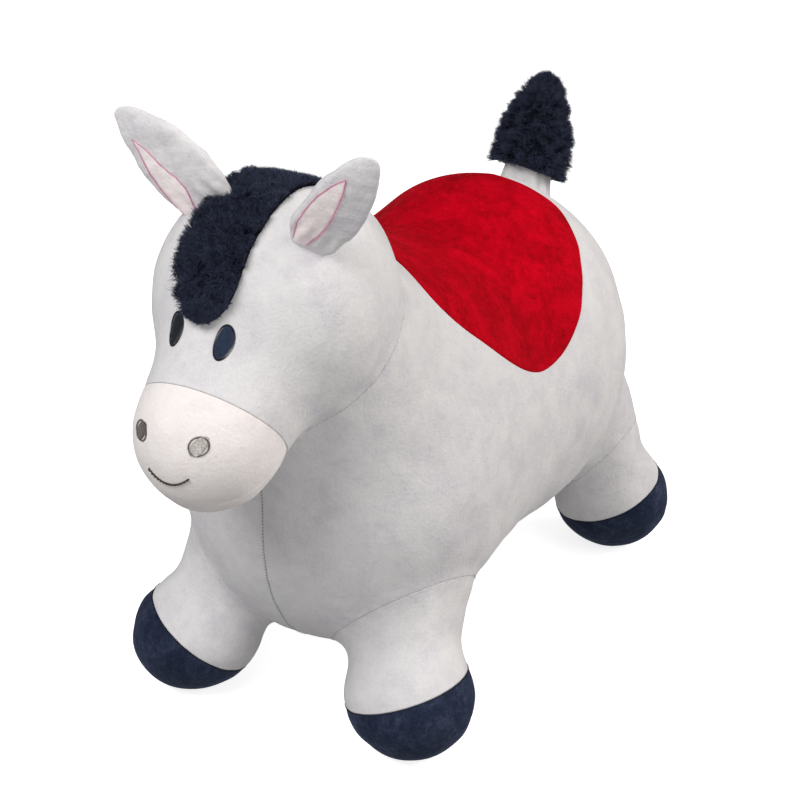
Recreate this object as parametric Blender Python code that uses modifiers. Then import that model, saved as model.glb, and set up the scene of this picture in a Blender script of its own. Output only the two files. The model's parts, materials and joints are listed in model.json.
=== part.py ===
"""Plush-covered inflatable ride-on donkey, modelled piece by piece.

A hollow PVC air chamber carries a sewn velour cover. Every soft form is a
swelling: ellipsoids and tapered limbs that run into each other. A UV sphere is
blown out along rays until its points lie on such a form, and the panels of the
cover are cut from it along their seams.
Metres, +Z up. The animal faces -Y, its left side is +X, and it stands on Z = 0.
"""

import math

import bmesh
import bpy
import numpy as np
from mathutils import Matrix, Vector

# Layers, from the inside out
PVC_WALL = 0.0018
LAYER_SLIP = 0.0009
COVER_THICK = 0.0025
SEAM_GAP = 0.0003
APPLIQUE_THICK = 0.0012
STITCH_THICK = 0.0010

# Trunk: belly, rump and chest swellings, and the neck that rises from them
BELLY_Y = 0.019
BELLY_Z = 0.183
BELLY_HALF_WIDTH = 0.121
BELLY_HALF_LENGTH = 0.187
BELLY_HALF_HEIGHT = 0.127
RUMP_Y = 0.114
RUMP_Z = 0.188
RUMP_HALF_WIDTH = 0.1095
RUMP_HALF_LENGTH = 0.108
RUMP_HALF_HEIGHT = 0.136
CHEST_Y = -0.113
CHEST_Z = 0.171
CHEST_HALF_WIDTH = 0.117
CHEST_HALF_LENGTH = 0.108
CHEST_HALF_HEIGHT = 0.125
NECK_BASE_Y = -0.070
NECK_BASE_Z = 0.240
NECK_BASE_RADIUS = 0.090
NECK_TOP_Y = -0.149
NECK_TOP_Z = 0.289
NECK_TOP_RADIUS = 0.086
TRUNK_BLEND = 0.060
NECK_BLEND = 0.050
BELLY_FLAT_Z = 0.060
BELLY_FLAT_HALF_LENGTH = 0.070
BELLY_FLAT_FALL_SHARE = 0.45
BELLY_FLAT_BLEND = 0.006
TRUNK_CORE_FRONT_Y = -0.085
TRUNK_CORE_REAR_Y = 0.110
TRUNK_CORE_Z = 0.188

# Head and muzzle
HEAD_Y = -0.194
HEAD_Z = 0.345
HEAD_HALF_WIDTH = 0.084
HEAD_HALF_LENGTH = 0.084
HEAD_HALF_HEIGHT = 0.087
MUZZLE_Y = -0.283
MUZZLE_Z = 0.282
MUZZLE_HALF_WIDTH = 0.0508
MUZZLE_HALF_LENGTH = 0.049
MUZZLE_HALF_HEIGHT = 0.0515
HEAD_BLEND = 0.045
HEAD_CORE_REAR_Y = -0.185
HEAD_CORE_REAR_Z = 0.347
HEAD_CORE_FRONT_Y = -0.270
HEAD_CORE_FRONT_Z = 0.290

# Legs: a shin that runs into a rounded hoof
FORE_SHIN_X = 0.064
FORE_SHIN_Y = -0.138
FORE_SHIN_Z = 0.099
FORE_SHIN_RADIUS = 0.050
HIND_SHIN_X = 0.068
HIND_SHIN_Y = 0.158
HIND_SHIN_Z = 0.123
HIND_SHIN_RADIUS = 0.047
FORE_HOOF_X = 0.0925
FORE_HOOF_Y = -0.175
HIND_HOOF_X = 0.0955
HIND_HOOF_Y = 0.1745
HOOF_Z = 0.042
ANKLE_Z = 0.062
ANKLE_RADIUS = 0.038
HOOF_HALF_WIDTH = 0.0475
HOOF_HALF_HEIGHT = 0.044
LEG_BLEND = 0.014

# Seams: flat cuts through the cover, each by a point on it and the slopes of its plane
NECK_SEAM_Y = -0.195
NECK_SEAM_Z = 0.2975
NECK_SEAM_RISE_SHARE = 0.863
MUZZLE_SEAM_Y = -0.309
MUZZLE_SEAM_Z = 0.329
MUZZLE_SEAM_RISE_SHARE = -1.143
CHIN_SEAM_Y = -0.322
CHIN_SEAM_Z = 0.245
CHIN_SEAM_RISE_SHARE = 0.545
FORE_SEAM_X = 0.0767
FORE_SEAM_Y = -0.161
FORE_SEAM_Z = 0.108
HIND_SEAM_X = 0.0975
HIND_SEAM_Y = 0.144
HIND_SEAM_Z = 0.088
LEG_SEAM_RISE_X_SHARE = 0.875
LEG_SEAM_RISE_Y_SHARE = 0.45
FORE_TOP_Z = 0.0495
FORE_TOP_RISE_X_SHARE = 0.50
FORE_TOP_RISE_Y_SHARE = -0.25
HIND_TOP_Z = 0.0515
HIND_TOP_RISE_X_SHARE = 0.32
HIND_TOP_RISE_Y_SHARE = 0.29
SOLE_SEAM_Z = 0.0190
SOLE_RISE_SHARE = 0.8

# Ears
EAR_ROOT_X = 0.044
EAR_ROOT_Y = -0.218
EAR_TIP_X = 0.095
EAR_TIP_Y = -0.234
EAR_TIP_Z = 0.476
EAR_HALF_WIDTH = 0.0245
EAR_HALF_THICK = 0.0085
EAR_CUP_DEPTH = 0.0040
EAR_ROOT_INSIDE = 0.022
EAR_COVER_THICK = 0.0020
EAR_FILLING_SLIP = 0.0016
EAR_EGG_SHARE = 0.28
EAR_BEND_DEG = 20.0
LINING_HALF_WIDTH = 0.0100
LINING_FOOT_SHARE = 0.12
LINING_TIP_SHARE = 0.85
LINING_EGG_SHARE = 0.35

# Tail and its tuft
TAIL_ROOT_Y = 0.184
TAIL_SINK = 0.0075
TAIL_ROOT_RADIUS = 0.0235
TAIL_LEAN_Y = 0.030
TAIL_RISE_Z = 0.064
TAIL_TIP_RADIUS = 0.0150
TUFT_DROP = 0.0170
TUFT_HALF_WIDTH = 0.0290
TUFT_HALF_LENGTH = 0.0280
TUFT_HALF_HEIGHT = 0.0435
TAIL_BEND_DEG = 22.0

# Mane: a fur strip from the forehead over the poll to the neck seam
MANE_HALF_WIDTH = 0.0240
MANE_HALF_HEIGHT = 0.0130
MANE_TIP_SHARE = 0.75
MANE_SINK = 0.0040
MANE_START_Z = 0.372
MANE_HUB_Y = -0.165
MANE_HUB_Z = 0.300

# Saddle patch: places along its half edge, front to rear, as shares of its length and drop
SADDLE_FRONT_Y = -0.112
SADDLE_REAR_Y = 0.132
SADDLE_LOW_DEG = 66.5
SADDLE_HUB_Z = 0.185
SADDLE_CUT_NEAR_SHARE = 0.4
SADDLE_CUT_FAR_SHARE = 1.6
SADDLE_EDGE_SHARES = (
    (0.03, 0.00),
    (0.00, 0.15),
    (0.02, 0.33),
    (0.07, 0.47),
    (0.16, 0.64),
    (0.27, 0.82),
    (0.37, 0.935),
    (0.46, 0.99),
    (0.56, 0.985),
    (0.64, 0.94),
    (0.73, 0.86),
    (0.81, 0.76),
    (0.88, 0.66),
    (0.94, 0.55),
    (0.985, 0.40),
    (1.00, 0.24),
    (1.00, 0.00),
)

# Face: the eyes were sewn by hand and sit unevenly
EYE_LEFT_X = 0.0150
EYE_RIGHT_X = 0.0235
EYE_Z = 0.3515
EYE_HALF_WIDTH = 0.0072
EYE_HALF_HEIGHT = 0.0122
NOSTRIL_X = 0.0235
NOSTRIL_Z = 0.297
NOSTRIL_RADIUS = 0.0070
MOUTH_HALF_WIDTH = 0.0150
MOUTH_CORNER_Z = 0.2745
MOUTH_DROP = 0.0070
MOUTH_THREAD_RADIUS = 0.0008
FACE_CUT_NEAR_SHARE = 0.5
FACE_CUT_FAR_SHARE = 1.5

# Zip along the flat of the belly
ZIP_LENGTH = 0.110
ZIP_Y = 0.0
ZIP_TAPE_WIDTH = 0.0120
ZIP_TAPE_THICK = 0.0006
ZIP_TAPE_SINK = 0.0002
ZIP_TOOTH_PITCH = 0.0044
ZIP_TOOTH_WIDTH = 0.0019
ZIP_TOOTH_LENGTH = 0.0036
ZIP_TOOTH_OVERLAP = 0.0006
ZIP_TOOTH_THICK = 0.0018
ZIP_END_MARGIN = 0.0030
ZIP_SLOT_REACH = 0.0200
SLIDER_LENGTH = 0.0120
SLIDER_WALL = 0.0010
SLIDER_RAIL_HEIGHT = 0.0006
SLIDER_RAIL_SHARE = 0.8
SLIDER_LUG_RADIUS = 0.0019
SLIDER_LUG_WIDTH = 0.0011
SLIDER_LUG_FOOT_SHARE = 0.9
SLIDER_PIN_RADIUS = 0.0009
SLIDER_PIN_DROP = 0.0029
PULL_EYE_LENGTH = 0.0050
PULL_EYE_RADIUS = 0.0021
PULL_EYE_BORE = 0.0012
PULL_EYE_CLEAR_SHARE = 1.2
PULL_NECK_LENGTH = 0.0060
PULL_NECK_SHARE = 0.86
PULL_TAB_TOP_SHARE = 0.8
PULL_WIDTH = 0.0080
PULL_LENGTH = 0.0240
PULL_THICK = 0.0015

# Air valve in the belly of the chamber, under the zip
VALVE_Y = 0.030
VALVE_RADIUS = 0.0107
VALVE_CUP_RADIUS = 0.0087
VALVE_CUP_DEPTH = 0.0130
VALVE_CUP_HEIGHT = 0.0155
VALVE_BORE_RADIUS = 0.0045
VALVE_SLEEVE_RADIUS = 0.0066
VALVE_HEIGHT = 0.0240
VALVE_FLANGE_RADIUS = 0.0150
VALVE_FLANGE_THICK = 0.0018
VALVE_FLANGE_SLIP = 0.0008
PLUG_HEAD_RADIUS = 0.0084
PLUG_HEAD_THICK = 0.0034
PLUG_KNOB_RADIUS = 0.0032
PLUG_KNOB_HEIGHT = 0.0020
PLUG_STEM_RADIUS = 0.0042
PLUG_STEM_TIP_RADIUS = 0.0034
PLUG_STEM_LENGTH = 0.0100

# Helpers that are not part of the animal
RAY_REACH = 0.45
CUTTER_SIZE = 1.2
OVERRUN = 0.004
TINY = 1e-9
MERGE_DISTANCE = 0.00001

# Mesh density
BISECTIONS = 40
TRUNK_AROUND = 28
TRUNK_ALONG = 18
HEAD_AROUND = 24
HEAD_ALONG = 14
LEG_AROUND = 16
LEG_ALONG = 12
EAR_AROUND = 14
EAR_ALONG = 10
OUTLINE_POINTS = 16
TURN_STEPS = 24

PARTS = "ride_on_donkey"
CUTTERS = "cutters"


def clear_scene():
    for obj in list(bpy.data.objects):
        bpy.data.objects.remove(obj, do_unlink=True)


def collection_named(name, shown):
    made = bpy.data.collections.new(name)
    bpy.context.scene.collection.children.link(made)
    made.hide_render = not shown
    return made


def material(name, colour, roughness, metallic=0.0):
    made = bpy.data.materials.new(name)
    made.use_nodes = True
    shader = made.node_tree.nodes["Principled BSDF"]
    shader.inputs["Base Color"].default_value = (*colour, 1.0)
    shader.inputs["Roughness"].default_value = roughness
    shader.inputs["Metallic"].default_value = metallic
    made.diffuse_color = (*colour, 1.0)
    return made


# Forms: functions of points, below zero inside and above zero outside


def swelling(points, centre, half):
    """An ellipsoid, as a value close to the distance from its skin."""
    q = points - np.array(centre)
    near = np.linalg.norm(q / np.array(half), axis=1)
    slope = np.linalg.norm(q / np.array(half) ** 2, axis=1)
    return near * (near - 1.0) / np.maximum(slope, TINY)


def tapered_limb(points, start, end, start_radius, end_radius):
    """A round limb between two points, its radius running from one to the other."""
    axis = np.array(end) - np.array(start)
    q = points - np.array(start)
    share = np.clip(q @ axis / (axis @ axis), 0.0, 1.0)
    radius = start_radius + (end_radius - start_radius) * share
    return np.linalg.norm(q - share[:, None] * axis, axis=1) - radius


def blend(a, b, reach):
    """Two forms run together, with a fillet of about this reach."""
    near = np.maximum(reach - np.abs(a - b), 0.0) / reach
    return np.minimum(a, b) - near * near * reach / 4.0


def trunk_form(points):
    belly = swelling(
        points,
        (0.0, BELLY_Y, BELLY_Z),
        (BELLY_HALF_WIDTH, BELLY_HALF_LENGTH, BELLY_HALF_HEIGHT),
    )
    rump = swelling(
        points,
        (0.0, RUMP_Y, RUMP_Z),
        (RUMP_HALF_WIDTH, RUMP_HALF_LENGTH, RUMP_HALF_HEIGHT),
    )
    chest = swelling(
        points,
        (0.0, CHEST_Y, CHEST_Z),
        (CHEST_HALF_WIDTH, CHEST_HALF_LENGTH, CHEST_HALF_HEIGHT),
    )
    neck = tapered_limb(
        points,
        (0.0, NECK_BASE_Y, NECK_BASE_Z),
        (0.0, NECK_TOP_Y, NECK_TOP_Z),
        NECK_BASE_RADIUS,
        NECK_TOP_RADIUS,
    )
    trunk = blend(blend(belly, rump, TRUNK_BLEND), chest, TRUNK_BLEND)
    trunk = blend(trunk, neck, NECK_BLEND)
    beyond = np.maximum(np.abs(points[:, 1]) - BELLY_FLAT_HALF_LENGTH, 0.0)
    below_flat = BELLY_FLAT_Z - beyond * BELLY_FLAT_FALL_SHARE - points[:, 2]
    return -blend(-trunk, -below_flat, BELLY_FLAT_BLEND)


def head_form(points):
    head = swelling(
        points,
        (0.0, HEAD_Y, HEAD_Z),
        (HEAD_HALF_WIDTH, HEAD_HALF_LENGTH, HEAD_HALF_HEIGHT),
    )
    muzzle = swelling(
        points,
        (0.0, MUZZLE_Y, MUZZLE_Z),
        (MUZZLE_HALF_WIDTH, MUZZLE_HALF_LENGTH, MUZZLE_HALF_HEIGHT),
    )
    return blend(head, muzzle, HEAD_BLEND)


def leg_form(points, shin, shin_radius, hoof):
    """A tapering shin from inside the trunk to the ankle, and the rounded hoof below."""
    shin, hoof = np.array(shin), np.array(hoof)
    share = (shin[2] - ANKLE_Z) / (shin[2] - hoof[2])
    ankle = shin + (hoof - shin) * share
    shank = tapered_limb(points, shin, ankle, shin_radius, ANKLE_RADIUS)
    foot = swelling(points, hoof, (HOOF_HALF_WIDTH, HOOF_HALF_WIDTH, HOOF_HALF_HEIGHT))
    return blend(shank, foot, LEG_BLEND)


def shoot(form, origins, directions):
    """The points where rays from inside a form come out of it, found by halving."""
    origins = np.atleast_2d(np.array(origins, dtype=float))
    directions = np.atleast_2d(np.array(directions, dtype=float))
    directions = directions / np.linalg.norm(directions, axis=1)[:, None]
    inside = np.zeros(len(directions))
    outside = np.full(len(directions), RAY_REACH)
    for _ in range(BISECTIONS):
        middle = (inside + outside) / 2.0
        within = form(origins + directions * middle[:, None]) < 0.0
        inside = np.where(within, middle, inside)
        outside = np.where(within, outside, middle)
    return origins + directions * inside[:, None]


# Meshes


def mesh_from(bm, name):
    bm.normal_update()
    bmesh.ops.recalc_face_normals(bm, faces=bm.faces)
    mesh = bpy.data.meshes.new(name)
    bm.to_mesh(mesh)
    bm.free()
    return mesh


def blown_sphere(name, form, start, end, around, along):
    """A UV sphere stretched along a core line and blown out onto a form."""
    start, end = np.array(start, dtype=float), np.array(end, dtype=float)
    axis = (end - start) / np.linalg.norm(end - start)
    side = np.array((1.0, 0.0, 0.0)) - axis[0] * axis
    side /= np.linalg.norm(side)
    up = np.cross(axis, side)
    bm = bmesh.new()
    bmesh.ops.create_uvsphere(bm, u_segments=around, v_segments=along, radius=1.0)
    unit = np.array([v.co for v in bm.verts])
    directions = unit @ np.array([side, up, axis])
    origins = (start + end) / 2.0 + unit[:, 2:] * (end - start) / 2.0
    for vert, point in zip(bm.verts, shoot(form, origins, directions)):
        vert.co = point
    stand_flat(bm)
    return in_triangles(bm, name)


def stand_flat(bm):
    """Cuts off what is under the ground and closes the cut with one flat face."""
    everything = [*bm.verts, *bm.edges, *bm.faces]
    up = Vector((0.0, 0.0, 1.0))
    bmesh.ops.bisect_plane(
        bm, geom=everything, dist=MERGE_DISTANCE, plane_co=Vector(), plane_no=up, clear_inner=True
    )
    bmesh.ops.holes_fill(bm, edges=bm.edges)


def in_triangles(bm, name):
    """The mesh with each face split once and for all, so that layers made from it nest."""
    bm.normal_update()
    bmesh.ops.triangulate(bm, faces=bm.faces, quad_method="SHORT_EDGE")
    return mesh_from(bm, name)


def even_sided(mesh):
    """The mesh with its right half replaced by the mirror image of its left half."""
    bm = bmesh.new()
    bm.from_mesh(mesh)
    everything = [*bm.verts, *bm.edges, *bm.faces]
    bmesh.ops.symmetrize(bm, input=everything, direction="X", dist=MERGE_DISTANCE)
    return mesh_from(bm, mesh.name)


def grown(mesh, distance):
    """A copy of a mesh with each point moved out along its normal, or in where negative."""
    copy = mesh.copy()
    count = len(copy.vertices)
    points = np.empty(count * 3, np.float32)
    copy.vertices.foreach_get("co", points)
    normals = np.empty(count * 3, np.float32)
    copy.vertex_normals.foreach_get("vector", normals)
    copy.vertices.foreach_set("co", points + normals * distance)
    copy.update()
    return copy


def outline_block(name, hub, rim_points, crown, near_share, far_share):
    """A cutter that fans out from a hub through a closed outline; crown caps its far end."""
    hub, crown = Vector(hub), Vector(crown)
    bm = bmesh.new()
    near = [bm.verts.new(hub + (Vector(p) - hub) * near_share) for p in rim_points]
    far = [bm.verts.new(hub + (Vector(p) - hub) * far_share) for p in rim_points]
    near_hub = bm.verts.new(hub + (crown - hub) * near_share)
    far_hub = bm.verts.new(hub + (crown - hub) * far_share)
    for i, j in zip(range(len(near)), [*range(1, len(near)), 0]):
        bm.faces.new((near[i], near[j], far[j], far[i]))
        bm.faces.new((near_hub, near[j], near[i]))
        bm.faces.new((far_hub, far[i], far[j]))
    return as_cutter(name, mesh_from(bm, name))


def box_mesh(name, low, high):
    bm = bmesh.new()
    bmesh.ops.create_cube(bm, size=1.0)
    low, high = Vector(low), Vector(high)
    size, middle = high - low, (high + low) / 2.0
    for vert in bm.verts:
        vert.co = Vector((vert.co.x * size.x, vert.co.y * size.y, vert.co.z * size.z)) + middle
    return mesh_from(bm, name)


def rod_mesh(name, start, end, radius, steps=TURN_STEPS):
    start, end = Vector(start), Vector(end)
    bm = bmesh.new()
    bmesh.ops.create_cone(
        bm,
        cap_ends=True,
        segments=steps,
        radius1=radius,
        radius2=radius,
        depth=(end - start).length,
    )
    turn = (end - start).to_track_quat("Z", "Y").to_matrix().to_4x4()
    bmesh.ops.transform(bm, matrix=Matrix.Translation((start + end) / 2.0) @ turn, verts=bm.verts)
    return mesh_from(bm, name)


# Objects and the operations on them


def add_object(name, mesh, collection):
    obj = bpy.data.objects.new(name, mesh)
    collection.objects.link(obj)
    return obj


def as_part(name, mesh):
    return add_object(name, mesh, bpy.data.collections[PARTS])


def as_cutter(name, mesh):
    obj = add_object(name, mesh, bpy.data.collections[CUTTERS])
    obj.display_type = "WIRE"
    obj.hide_render = True
    return obj


def half_space(name, point, normal):
    """A large cube that fills the side of a plane which its normal points to."""
    half = CUTTER_SIZE / 2.0
    mesh = box_mesh(name, (-half, -half, 0.0), (half, half, CUTTER_SIZE))
    turn = Vector(normal).to_track_quat("Z", "Y").to_matrix().to_4x4()
    mesh.transform(Matrix.Translation(Vector(point)) @ turn)
    return as_cutter(name, mesh)


def cut(obj, operation, *tools):
    for tool in tools:
        boolean = obj.modifiers.new(operation.lower(), "BOOLEAN")
        boolean.operation = operation
        boolean.solver = "EXACT"
        boolean.object = tool
    return obj


def thicken_inwards(obj, thickness):
    wall = obj.modifiers.new("wall", "SOLIDIFY")
    wall.thickness = thickness
    wall.offset = -1.0
    return obj


def baked(obj):
    """Turns an object's modifiers into its mesh, so that it can be mirrored or used again."""
    graph = bpy.context.evaluated_depsgraph_get()
    mesh = bpy.data.meshes.new_from_object(obj.evaluated_get(graph))
    obj.modifiers.clear()
    obj.data = mesh
    return obj


def right_of(obj, name):
    """The mirror image of a left piece."""
    mesh = obj.data.copy()
    mesh.transform(Matrix.Scale(-1.0, 4, Vector((1.0, 0.0, 0.0))))
    mesh.flip_normals()
    made = add_object(name, mesh, obj.users_collection[0])
    made.display_type = obj.display_type
    made.hide_render = obj.hide_render
    return made


# The sewn cover


def trunk_mesh(around, along):
    core = [(0.0, y, TRUNK_CORE_Z) for y in (TRUNK_CORE_FRONT_Y, TRUNK_CORE_REAR_Y)]
    return even_sided(blown_sphere("trunk_form", trunk_form, *core, around, along))


def head_mesh(around, along):
    rear = (0.0, HEAD_CORE_REAR_Y, HEAD_CORE_REAR_Z)
    front = (0.0, HEAD_CORE_FRONT_Y, HEAD_CORE_FRONT_Z)
    return even_sided(blown_sphere("head_form", head_form, rear, front, around, along))


LEGS = {
    "front": (
        (FORE_SHIN_X, FORE_SHIN_Y, FORE_SHIN_Z),
        FORE_SHIN_RADIUS,
        (FORE_HOOF_X, FORE_HOOF_Y, HOOF_Z),
        (FORE_SEAM_X, FORE_SEAM_Y, FORE_SEAM_Z),
        FORE_TOP_Z,
        (FORE_TOP_RISE_X_SHARE, FORE_TOP_RISE_Y_SHARE),
    ),
    "rear": (
        (HIND_SHIN_X, HIND_SHIN_Y, HIND_SHIN_Z),
        HIND_SHIN_RADIUS,
        (HIND_HOOF_X, HIND_HOOF_Y, HOOF_Z),
        (HIND_SEAM_X, HIND_SEAM_Y, HIND_SEAM_Z),
        HIND_TOP_Z,
        (HIND_TOP_RISE_X_SHARE, HIND_TOP_RISE_Y_SHARE),
    ),
}


def leg_mesh(which, around, along):
    shin, radius, hoof, *_ = LEGS[which]
    return blown_sphere(
        f"{which}_leg_form",
        lambda points: leg_form(points, shin, radius, hoof),
        shin,
        hoof,
        around,
        along,
    )


def seam_sides(name, point, rise_x, rise_y):
    """Cutters for what lies above a seam's plane and below it, a seam's gap apart."""
    up = Vector((-rise_x, -rise_y, 1.0)).normalized()
    step = up * SEAM_GAP / 2.0
    above = half_space(f"over_{name}", Vector(point) + step, up)
    below = half_space(f"under_{name}", Vector(point) - step, -up)
    return above, below


def panel(name, outside, keep, remove):
    """A piece of the cover: the outer form between its seams, hollowed out."""
    made = as_part(name, outside.data.copy())
    cut(made, "INTERSECT", *keep)
    cut(made, "DIFFERENCE", *remove)
    return baked(made)


def zip_slot():
    slot_x = ZIP_TAPE_WIDTH + SEAM_GAP
    slot_y = ZIP_LENGTH / 2.0 + SEAM_GAP
    low = (-slot_x, ZIP_Y - slot_y, BELLY_FLAT_Z - ZIP_SLOT_REACH)
    high = (slot_x, ZIP_Y + slot_y, BELLY_FLAT_Z + ZIP_SLOT_REACH)
    return as_cutter("zip_slot", box_mesh("zip_slot", low, high))


def make_covers(outside, inside):
    """All the panels of the cover, cut from its outer form along flat seams."""
    neck = (0.0, NECK_SEAM_Y, NECK_SEAM_Z)
    head_side, body_side = seam_sides("neck_seam", neck, 0.0, NECK_SEAM_RISE_SHARE)
    muzzle = (0.0, MUZZLE_SEAM_Y, MUZZLE_SEAM_Z)
    face_side, muzzle_side = seam_sides("muzzle_seam", muzzle, 0.0, MUZZLE_SEAM_RISE_SHARE)
    chin = (0.0, CHIN_SEAM_Y, CHIN_SEAM_Z)
    lip_side, chin_side = seam_sides("chin_seam", chin, 0.0, CHIN_SEAM_RISE_SHARE)
    left_side = half_space("left_side", (SEAM_GAP / 2.0, 0.0, 0.0), (1.0, 0.0, 0.0))
    grey = [panel("head_cover", outside, (head_side, face_side), (inside,))]
    pale = [
        panel("muzzle_panel", outside, (head_side, muzzle_side, lip_side), (inside,)),
        panel("chin_panel", outside, (head_side, muzzle_side, chin_side), (inside,)),
    ]
    lefts = []
    above_legs = []
    for which, (_, _, hoof, seam, top_z, rises) in LEGS.items():
        rise_y = math.copysign(LEG_SEAM_RISE_Y_SHARE, hoof[1])
        over, under = seam_sides(f"{which}_leg_seam", seam, LEG_SEAM_RISE_X_SHARE, rise_y)
        above_legs.append(over)
        top = (hoof[0], hoof[1], top_z)
        shin_side, hoof_side = seam_sides(f"{which}_hoof_seam", top, *rises)
        low = (hoof[0], hoof[1], SOLE_SEAM_Z)
        flatter = [rise * SOLE_RISE_SHARE for rise in rises]
        band_side, sole_side = seam_sides(f"{which}_sole_seam", low, *flatter)
        for name, sides in (
            ("leg_cover", (left_side, under, shin_side)),
            ("hoof_band", (left_side, under, hoof_side, band_side)),
            ("hoof_sole", (left_side, under, sole_side)),
        ):
            lefts.append(panel(f"{name}_{which}_left", outside, sides, (inside,)))
    sides = (left_side, body_side, *above_legs)
    lefts.append(panel("body_cover_left", outside, sides, (inside, zip_slot())))
    for left in lefts:
        pair = [left, right_of(left, left.name.replace("left", "right"))]
        if left.name.startswith("hoof"):
            finish(pair, bpy.data.materials["navy_velour"])
        else:
            grey += pair
    finish(grey, bpy.data.materials["grey_velour"])
    finish(pale, bpy.data.materials["pale_velour"])


def laid_on(name, mesh, thickness, block):
    """A patch of cloth or stitching laid on a form, cut to the outline of a block."""
    patch = as_part(name, grown(mesh, SEAM_GAP + thickness))
    cut(patch, "INTERSECT", block)
    cut(patch, "DIFFERENCE", as_cutter(f"{name}_bed", grown(mesh, SEAM_GAP)))
    return baked(patch)


def make_saddle(trunk):
    length = SADDLE_REAR_Y - SADDLE_FRONT_Y
    low = math.radians(SADDLE_LOW_DEG)
    half = [(SADDLE_FRONT_Y + length * a, low * b) for a, b in SADDLE_EDGE_SHARES]
    whole = half + [(y, -angle) for y, angle in half[-2:0:-1]]
    hubs = np.array([(0.0, y, SADDLE_HUB_Z) for y, _ in whole])
    ways = np.array([(math.sin(angle), 0.0, math.cos(angle)) for _, angle in whole])
    rim = shoot(trunk_form, hubs, ways)
    hub = (0.0, (SADDLE_FRONT_Y + SADDLE_REAR_Y) / 2.0, SADDLE_HUB_Z)
    crown = shoot(trunk_form, hub, (0.0, 0.0, 1.0))[0]
    block = outline_block("saddle_outline", hub, rim, crown, SADDLE_CUT_NEAR_SHARE, SADDLE_CUT_FAR_SHARE)
    return [laid_on("saddle_patch", trunk, APPLIQUE_THICK, block)]


def face_block(name, x, z, half_width, half_height):
    """A cutter through an oval on the front of the head."""
    hub = np.array((0.0, HEAD_CORE_FRONT_Y if z < MUZZLE_SEAM_Z else HEAD_Y, z))
    turns = np.linspace(0.0, 2.0 * math.pi, OUTLINE_POINTS, endpoint=False)
    spots = [(x, z)] + [
        (x + half_width * math.cos(t), z + half_height * math.sin(t)) for t in turns
    ]
    starts = np.array([(a, hub[1], b) for a, b in spots])
    ahead = np.tile((0.0, -1.0, 0.0), (len(spots), 1))
    points = shoot(head_form, starts, ahead)
    back = Vector((0.0, 1.0, 0.0)) * HEAD_HALF_LENGTH
    hub = Vector(points[0]) + back
    return outline_block(
        name, hub, points[1:], points[0], FACE_CUT_NEAR_SHARE, FACE_CUT_FAR_SHARE
    )


def make_face(head):
    made = []
    for name, x, z, half_width, half_height in (
        ("eye_left", EYE_LEFT_X, EYE_Z, EYE_HALF_WIDTH, EYE_HALF_HEIGHT),
        ("eye_right", -EYE_RIGHT_X, EYE_Z, EYE_HALF_WIDTH, EYE_HALF_HEIGHT),
        ("nostril_left", NOSTRIL_X, NOSTRIL_Z, NOSTRIL_RADIUS, NOSTRIL_RADIUS),
        ("nostril_right", -NOSTRIL_X, NOSTRIL_Z, NOSTRIL_RADIUS, NOSTRIL_RADIUS),
    ):
        block = face_block(f"{name}_outline", x, z, half_width, half_height)
        made.append(laid_on(name, head, STITCH_THICK, block))
    return made + [make_mouth()]


def make_mouth():
    """A thread along a smile: a shallow parabola laid on the muzzle."""
    across = np.linspace(-1.0, 1.0, OUTLINE_POINTS // 2 + 1)
    drop = MOUTH_DROP * (1.0 - across**2)
    starts = np.array(
        [(MOUTH_HALF_WIDTH * a, HEAD_CORE_FRONT_Y, MOUTH_CORNER_Z - d) for a, d in zip(across, drop)]
    )
    points = shoot(head_form, starts, np.tile((0.0, -1.0, 0.0), (len(starts), 1)))
    outward = points - np.array((0.0, MUZZLE_Y, MUZZLE_Z))
    outward /= np.linalg.norm(outward, axis=1)[:, None]
    points = points + outward * (MOUTH_THREAD_RADIUS + SEAM_GAP)
    return thread("mouth", points, np.ones(len(points)), MOUTH_THREAD_RADIUS, 1)


def thread(name, points, radii, bevel, resolution):
    """A tube along points, as a mesh with welded caps."""
    curve = bpy.data.curves.new(name, "CURVE")
    curve.dimensions = "3D"
    curve.bevel_depth = bevel
    curve.bevel_resolution = resolution
    curve.use_fill_caps = True
    spline = curve.splines.new("POLY")
    spline.points.add(len(points) - 1)
    for spot, point, radius in zip(spline.points, points, radii):
        spot.co = (*point, 1.0)
        spot.radius = radius
    obj = as_part(f"{name}_curve", curve)
    graph = bpy.context.evaluated_depsgraph_get()
    mesh = bpy.data.meshes.new_from_object(obj.evaluated_get(graph))
    bpy.data.objects.remove(obj)
    bm = bmesh.new()
    bm.from_mesh(mesh)
    bmesh.ops.remove_doubles(bm, verts=bm.verts, dist=MERGE_DISTANCE)
    return as_part(name, mesh_from(bm, name))


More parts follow.
